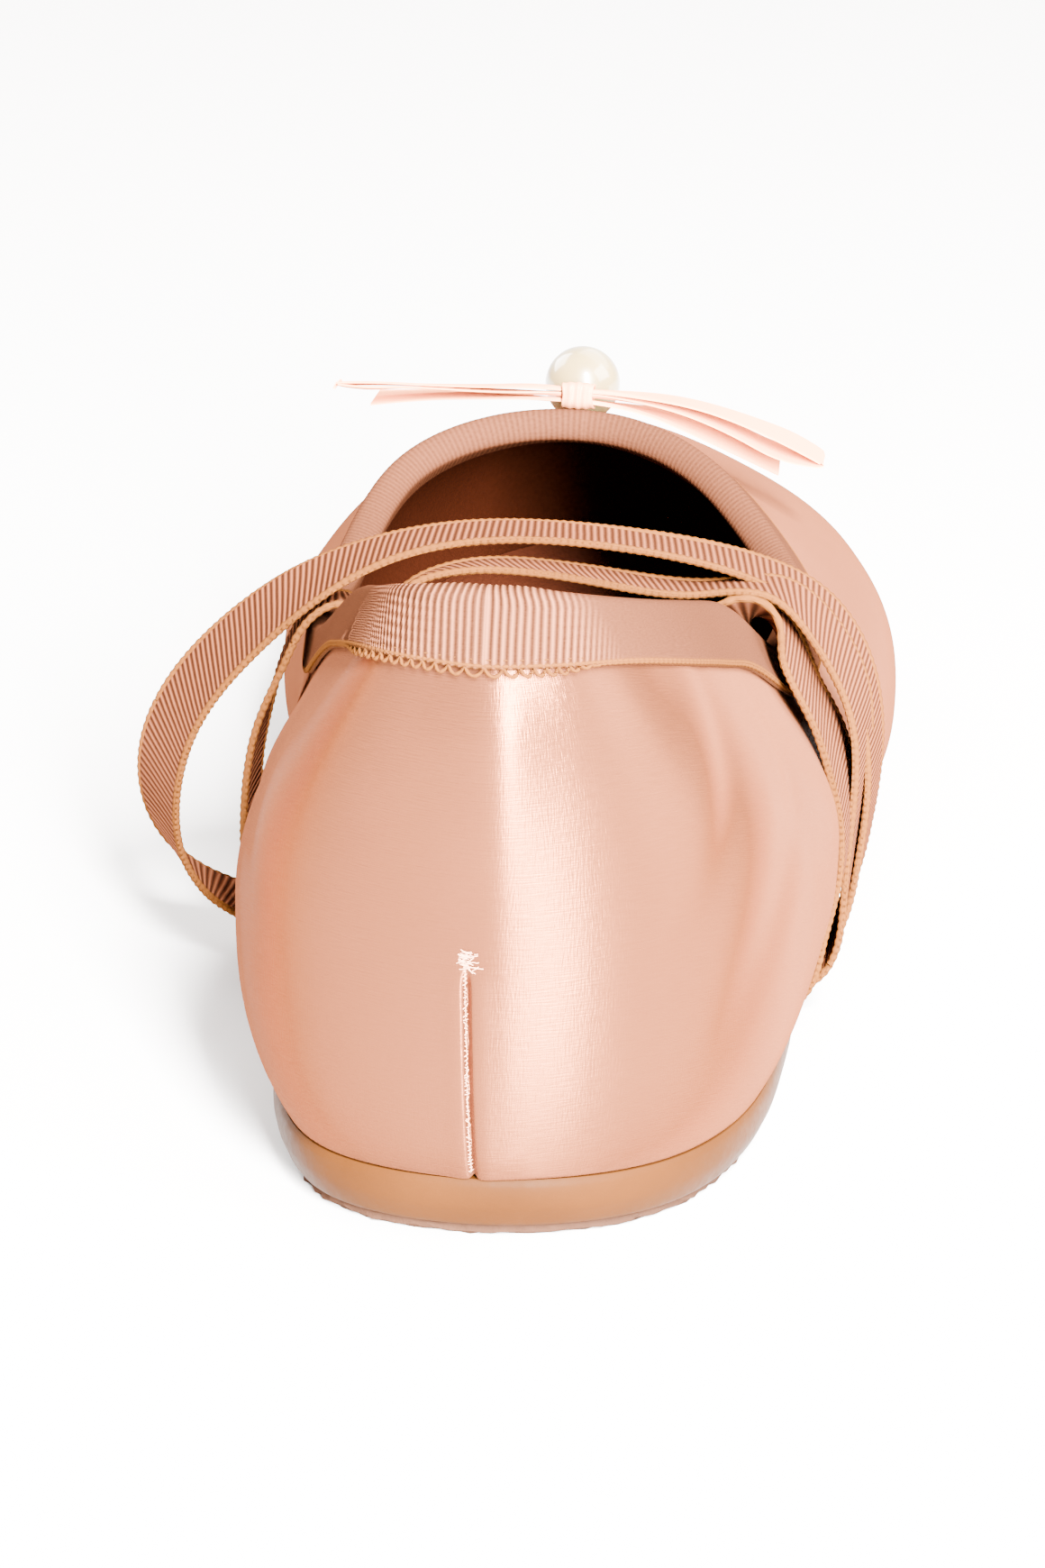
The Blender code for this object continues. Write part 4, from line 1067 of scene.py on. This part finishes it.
def make_picot(surface, along, whole, thread):
    """The scalloped thread edge along the binding's lower edge, and a row of stitches above it."""
    count = round(whole / PICOT_PITCH)
    steps = count * PICOT_STEPS
    at = np.arange(steps) / steps * len(along)
    phase = np.arange(steps) / PICOT_STEPS * 2 * math.pi
    skin = GAP + BINDING_THICKNESS * 0.75

    def sample(loop):
        return np.stack([np.interp(at, np.arange(len(loop) + 1), np.append(loop[:, k], loop[0, k]))
                         for k in range(3)], 1)

    edge = sample(at_depth(surface, BINDING_OUTSIDE, skin))
    swing = ribbed_share(edge)[:, None]
    low = sample(at_depth(surface, BINDING_OUTSIDE + 0.0007, skin - 0.0002))
    high = sample(at_depth(surface, BINDING_OUTSIDE - 0.0002, skin))
    share = np.abs(np.sin(phase / 2))[:, None]**0.8
    wave = high * (1 - share * swing) + low * share * swing
    band = sample(at_depth(surface, BINDING_OUTSIDE - 0.0004, skin + 0.0001))
    radius = PICOT_RADIUS * (1 + 0.2 * np.sin(phase * 2))
    piece = sweep("picot_edge", [wave, band], radius, thread, closed=True)
    stitches = []
    row = sample(at_depth(surface, BINDING_OUTSIDE - 0.0010, skin + 0.00022))
    for i in range(0, steps - PICOT_STEPS + 2, PICOT_STEPS):
        if swing[i] > 0.3:
            stitches.append(row[i:i + PICOT_STEPS // 2])
    piece = sweep("binding_stitches", stitches, BINDING_STITCH_RADIUS, thread, sides=4)


# Ribbons
def ribbon_lines(table, steps):
    """Smooth rows of x, y, z, lean across and lean up of an ankle ribbon."""
    get = by_column(table, RIBBON_COLUMNS)
    rows = np.stack([get["x"] * MM, get["along"] * MM + BACK, get["z"] * MM,
                     get["lean_x"], get["lean_z"], np.ones(len(table))], 1)
    return open_curve(rows, np.linspace(0, 1, steps))


def ribbon_frame(line, closed=False):
    """Middle line of a ribbon, its directions along and across, and the distance along it."""
    middle = line[:, :3]
    tangent = directions(middle, closed)
    across = np.stack([line[:, 3], np.ones(len(line)), line[:, 4]], 1)
    across -= tangent * np.sum(across * tangent, axis=1)[:, None]
    across /= np.linalg.norm(across, axis=1)[:, None]
    step = np.linalg.norm(np.diff(middle, axis=0), axis=1)
    return middle, tangent, across, np.concatenate([[0], np.cumsum(step)])


def make_ribbon(name, line, width, thickness, material, wave, columns=12, closed=False, edge=0.055):
    """A thin ribbon with round edges along rows of x, y, z, leans and fullness."""
    middle, tangent, across, along = ribbon_frame(line, closed)
    face = np.cross(tangent, across)
    share = np.linspace(-1, 1, columns + 1)
    share = np.sign(share) * np.abs(share)**0.8
    section = [(s, 1) for s in share] + [(s, -1) for s in share[::-1]]
    rings = []
    weave = []
    for s, side in section:
        rounding = 1 - 0.45 * max(0.0, (abs(s) - 0.93) / 0.07)
        lift = side * thickness / 2 * rounding + wave(along, s)
        rings.append(middle + across * (s * width / 2 * line[:, 5])[:, None] + face * lift[:, None])
        rim = 1.0 if abs(s) > 1 - 2 * edge else 0.0
        weave.append(np.stack([along, np.full(len(along), s * width / 2), np.full(len(along), rim)], 1))
    count = len(section)
    faces = tube_faces(len(middle), count, closed).tolist()
    if not closed:
        faces.extend(end_caps(0, len(middle), count))
    points = np.stack(rings, 1).reshape(-1, 3)
    return make_piece(name, points, faces, [material], np.stack(weave, 1).reshape(-1, 3), sharp=50)


def make_ribbon_edges(name, line, material):
    """Thick beaded thread along both edges of an ankle ribbon."""
    middle, _, across, along = ribbon_frame(line)
    radius = EDGE_RADIUS * (1 + EDGE_SWELL * np.sin(2 * math.pi * along / EDGE_BEAD))
    reach = ANKLE_WIDTH / 2 - EDGE_RADIUS
    piece = sweep(name, [middle + across * reach, middle - across * reach], radius, material, sides=7)
    return piece


def ribbon_sway(along, s):
    """The small waves of an ankle ribbon and of its edges."""
    return 0.00012 * np.sin(along * 190) * s**2 + 0.0001 * np.sin(along * 77 + 1.3) * s


def make_ankle_ribbons(material, edge_thread):
    """The two wound ribbons, flat, with their beaded edges."""
    for name, table in (("ankle_ribbon_outer", OUTER_RIBBON), ("ankle_ribbon_inner", INNER_RIBBON)):
        rough_line = ribbon_lines(table, 400)
        length = np.linalg.norm(np.diff(rough_line[:, :3], axis=0), axis=1).sum()
        line = ribbon_lines(table, int(length / RIBBON_STEP))
        piece = make_ribbon(name + "_cloth", line, ANKLE_WIDTH, ANKLE_THICKNESS, material, ribbon_sway)
        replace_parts(piece, name)
        edge_line = ribbon_lines(table, int(length / EDGE_STEP))
        edges = make_ribbon_edges(name + "_edges", edge_line, edge_thread)
        path = ribbon_lines(table, CORD_PATH_POINTS)[:, :3]


# Bow
def throat_seat():
    """Height of the binding's top over the throat, where the bow sits."""
    tip = last_surface(80, 1)[0][-1]
    return tip[:, 2][np.argmax(tip[:, 1])] + GAP + BINDING_THICKNESS


def bow_rows(table):
    """A bow table as rows of x, y, z, lean across, lean up and fullness."""
    get = by_column(table, BOW_COLUMNS)
    x = KNOT_ACROSS + get["side"] * BOW_WIDTH
    y = (KNOT_ALONG_SHARE - 0.5) * LENGTH + get["forward"] * BOW_WIDTH
    z = throat_seat() + KNOT_UP + get["up"] * BOW_WIDTH
    return np.stack([x, y, z, np.zeros(len(table)), get["lean"], get["full"]], 1)


def make_bow_band(name, line, material, closed):
    """One band of the bow, gathered towards the knot."""
    gather = bell(line[:, 0] - KNOT_ACROSS, GATHER_REACH)

    def pleat(_, s):
        return PLEAT_HEIGHT * gather * math.cos(s * 9.0)

    piece = make_ribbon(name, line, BOW_WIDTH, BOW_THICKNESS, material, pleat, 14, closed, edge=0.03)
    return piece


def make_bow(material):
    """Loops and tails of the narrow satin bow."""
    rows = bow_rows(BOW_LOOPS)
    chord = np.linalg.norm((np.roll(rows, -1, axis=0) - rows)[:, :3], axis=1)
    knots = np.concatenate([[0], np.cumsum(chord)])
    at = np.arange(LOOP_STEPS) / LOOP_STEPS * knots[-1]
    line = np.stack([ring_curve(knots, rows[:, k], at) for k in range(rows.shape[1])], 1)
    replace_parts(make_bow_band("bow_loop_cloth", line, material, True), "bow_loops")
    line = open_curve(bow_rows(BOW_TAILS), np.linspace(0, 1, TAIL_STEPS))
    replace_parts(make_bow_band("bow_tail_cloth", line, material, False), "bow_tails")


def make_knot(material):
    """The gathered band round the middle of the bow."""
    low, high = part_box("bow_knot")
    centre = (np.array(low) + np.array(high)) / 2
    half = (np.array(high) - np.array(low)) / 2
    turn, across = np.meshgrid(np.arange(KNOT_TURNS) / KNOT_TURNS * 2 * math.pi,
                               np.linspace(-1, 1, KNOT_COLUMNS + 1), indexing="ij")
    c = np.sign(np.cos(turn)) * np.abs(np.cos(turn))**KNOT_SQUARE
    s = np.sign(np.sin(turn)) * np.abs(np.sin(turn))**KNOT_SQUARE
    crown = 1 - 0.10 * np.abs(across)**3
    fold = 1 + 0.035 * np.cos(across * 12.5 + 0.6 * np.sin(turn * 2)) * (1 - 0.4 * np.abs(across))
    y = c * (half[1] - 0.0002) * crown * fold
    z = s * (half[2] - 0.0005) * crown * fold + KNOT_LEAN * y
    x = across * half[0] * (1 - 0.12 * (1 - np.abs(s)))
    points = centre + np.stack([x, y, z], -1).reshape(-1, 3)
    weave = np.stack([turn * half[1], across * half[0], np.zeros(turn.shape)], -1).reshape(-1, 3)
    columns = KNOT_COLUMNS + 1
    ring = tube_faces(KNOT_TURNS, columns, flip=True).reshape(KNOT_TURNS, columns, 4)
    faces = ring[:, :KNOT_COLUMNS].reshape(-1, 4)
    piece = make_piece("bow_knot_cloth", points, faces, [material], weave)
    thick = piece.modifiers.new("thickness", "SOLIDIFY")
    thick.thickness = BOW_THICKNESS
    thick.offset = -1
    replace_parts(piece, "bow_knot")


def make_pearl(material):
    """The round bead in front of the knot."""
    knot_y = (KNOT_ALONG_SHARE - 0.5) * LENGTH
    centre = Vector((KNOT_ACROSS, knot_y + PEARL_FORWARD, throat_seat() + PEARL_UP))
    mesh = bpy.data.meshes.new("pearl_bead")
    shape = bmesh.new()
    bmesh.ops.create_icosphere(shape, subdivisions=5, radius=PEARL_RADIUS)
    for point in shape.verts:
        point.co += centre
    shape.to_mesh(mesh)
    shape.free()
    mesh.shade_smooth()
    mesh.materials.append(material)
    piece = add_object("pearl_bead", mesh)
    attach(piece, "root")
    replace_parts(piece, "pearl")


# Sole unit
def feather_line(inset, ys):
    """Both sides of the feather outline, moved inwards, at the given shares of its length."""
    line = last_sections(FEATHER_POINTS)
    out = plan_normals(line["wide_x"], line["wide_y"])
    x = line["wide_x"] - out[:, 0] * (line["inset"] + inset)
    y = line["wide_y"] - out[:, 1] * (line["inset"] + inset)
    back = int(np.argmin(y))
    x = np.roll(x, -back)
    y = np.roll(y, -back)
    front = int(np.argmax(y))
    place = y[0] + (y[front] - y[0]) * np.asarray(ys)
    outer_x = np.interp(place, y[:front + 1], x[:front + 1])
    inner_x = np.interp(place, np.append(y[front:], y[0])[::-1], np.append(x[front:], x[0])[::-1])
    return place, outer_x, inner_x


def make_slab(name, layers, stations, material, cut=1.0):
    """A closed slab from rings listed from the top down, each an inset and a height over y."""
    spread = (1 - np.cos(np.linspace(0, math.pi, stations + 1))) / 2
    spread = spread[spread <= cut]
    if cut < 1:
        spread = np.append(spread[spread < cut - 0.002], cut)
    rings = []
    for inset, height in layers:
        ys, outer_x, inner_x = feather_line(inset, spread)
        z = height(ys)
        outer = np.stack([outer_x, ys, z], 1)
        inner = np.stack([inner_x, ys, z], 1)[::-1]
        rings.append(np.concatenate([outer, inner[(0 if cut < 1 else 1):-1]]))
    count = len(rings[0])
    last = len(spread) - 1
    faces = []
    for i in range(len(rings) - 1):
        for j in range(count):
            a = i * count + j
            b = i * count + (j + 1) % count
            faces.append((a, a + count, b + count, b))
    for first, flip in ((0, False), ((len(rings) - 1) * count, True)):
        across = [first + (count - i) % count for i in range(last + 1)]
        if cut >= 1:
            across[last] = first + last
        for i in range(last):
            face = list(dict.fromkeys([first + i, first + i + 1, across[i + 1], across[i]]))
            faces.append(face[::-1] if flip else face)
    return make_piece(name, np.concatenate(rings), faces, [material], sharp=35)


def make_sole(leather):
    """The leather sole unit with its rounded edge."""
    profile = [(0.0, 0.0), (0.2, 0.06), (0.32, 0.16), (0.36, 0.32), (0.34, 0.5), (0.2, 0.66), (-0.08, 0.8),
               (-0.26, 0.92), (-0.5, 1.0)]
    layers = []
    for out, down in profile:
        def height(y, down=down):
            return sole_top(y) * (1 - down) + sole_under(y) * down
        layers.append((-out * EDGE_ROUND, height))
    sole = make_slab("leather_sole", layers, SOLE_STATIONS, leather)
    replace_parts(sole, "sole")


def make_heel_lift(worn):
    """The thin worn top piece under the heel, with a ragged edge."""
    edge = EDGE_ROUND + GAP
    bulge = 0.0002
    layers = []
    for out, z in ((0, LIFT_THICKNESS), (bulge, 0.0009), (bulge, 0.0003), (-bulge, 0)):
        layers.append((edge - out, lambda y, z=z: z + 0 * y))
    lift = make_slab("worn_heel_lift", layers, SOLE_STATIONS, worn, (HEEL_LENGTH - edge) / LENGTH)
    rng = np.random.default_rng(5)
    for vertex in lift.data.vertices:
        vertex.co.x += LIFT_RAGGED * rng.standard_normal()
        vertex.co.y += LIFT_RAGGED * rng.standard_normal()
    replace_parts(lift, "heel_lift")


def make_insole(cloth):
    """The cloth-covered insole with its softened rim, its colour darkened with painted shade."""
    rim = WALL + GAP
    layers = []
    for inset, drop in ((rim + 0.0006, 0.0), (rim, 0.0004), (rim, INSOLE_THICKNESS)):
        layers.append((inset, lambda y, drop=drop: sole_top(y) + GAP + INSOLE_THICKNESS - drop))
    insole = make_slab("cloth_insole", layers, INSOLE_STATIONS, cloth)
    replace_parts(insole, "insole")


# Stage
def make_floor():
    """White floor running up into a backdrop."""
    material, _, shader = new_material("stage_white")
    set_uniform(shader, {"Base Color": FLOOR_WHITE, "Roughness": 0.38})
    profile = [(STAGE_FRONT, 0.0), (BEND_START, 0.0)]
    for i in range(1, 13):
        turn = math.pi / 2 * i / 12
        profile.append((BEND_START + BEND_RADIUS * math.sin(turn), BEND_RADIUS * (1 - math.cos(turn))))
    profile.append((BEND_START + BEND_RADIUS, STAGE_REACH))
    points = []
    faces = []
    for i, (y, z) in enumerate(profile):
        points.extend([(-STAGE_REACH, y, z), (STAGE_REACH, y, z)])
        if i:
            faces.append((2 * i - 2, 2 * i - 1, 2 * i + 1, 2 * i))
    mesh = bpy.data.meshes.new("stage_floor")
    mesh.from_pydata(points, [], faces)
    mesh.shade_smooth()
    mesh.materials.append(material)
    floor = add_object("stage_floor", mesh)


def make_light():
    """The studio's soft air and its area lights."""
    world = bpy.data.worlds.new("studio")
    world.use_nodes = True
    set_uniform(world.node_tree.nodes["Background"], {"Color": STUDIO_AIR, "Strength": 0.9})
    bpy.context.scene.world = world
    for name, place, target, width, height, power, colour in LIGHTS:
        data = bpy.data.lights.new(name, "AREA")
        data.shape = "RECTANGLE"
        data.size = width
        data.size_y = height
        data.energy = power
        data.color = colour
        light = add_object(name, data)
        light.location = place
        light.rotation_euler = (Vector(target) - Vector(place)).to_track_quat("-Z", "Y").to_euler()


def main():
    """Camera and ankle ribbons first, then the shoe, then the stage."""
    make_camera()
    picot = thread_material("picot_thread", EDGE_TAN)
    make_ankle_ribbons(grosgrain_material("ankle_grosgrain", RIBBON_PALE, RIBBON_DEEP_SHADE), picot)
    satin = satin_material("blush_satin", SATIN_PALE, SATIN_DEEP)
    # The lining's dark tones are painted shade of the shoe's inside
    upper = make_upper(satin, cloth_material("lining_painted_shade", LINING_SHADE_PALE, LINING_SHADE_DEEP))
    make_seam_stitches(upper, thread_material("seam_thread", SEAM_PINK))
    make_binding(grosgrain_material("binding_grosgrain", BINDING_PALE, BINDING_DEEP_SHADE, fading=True), picot)
    make_sole(leather_material("nude_leather", LEATHER_PALE, LEATHER_DEEP, 0.5, 0.00005, 900.0))
    make_heel_lift(leather_material("worn_leather", WORN_PALE, WORN_DEEP, 0.9, 0.0004, 700.0))
    # The insole's dark tones are painted shade of the shoe's inside
    make_insole(cloth_material("insole_painted_shade", INSOLE_SHADE_PALE, INSOLE_SHADE_DEEP))
    bow_satin = satin_material("bow_blush_satin", BOW_PALE, BOW_DEEP, roughness=0.5, shine=0.2)
    make_bow(bow_satin)
    make_knot(bow_satin)
    make_pearl(pearl_material("ivory_pearl"))
    make_floor()
    make_light()


main()
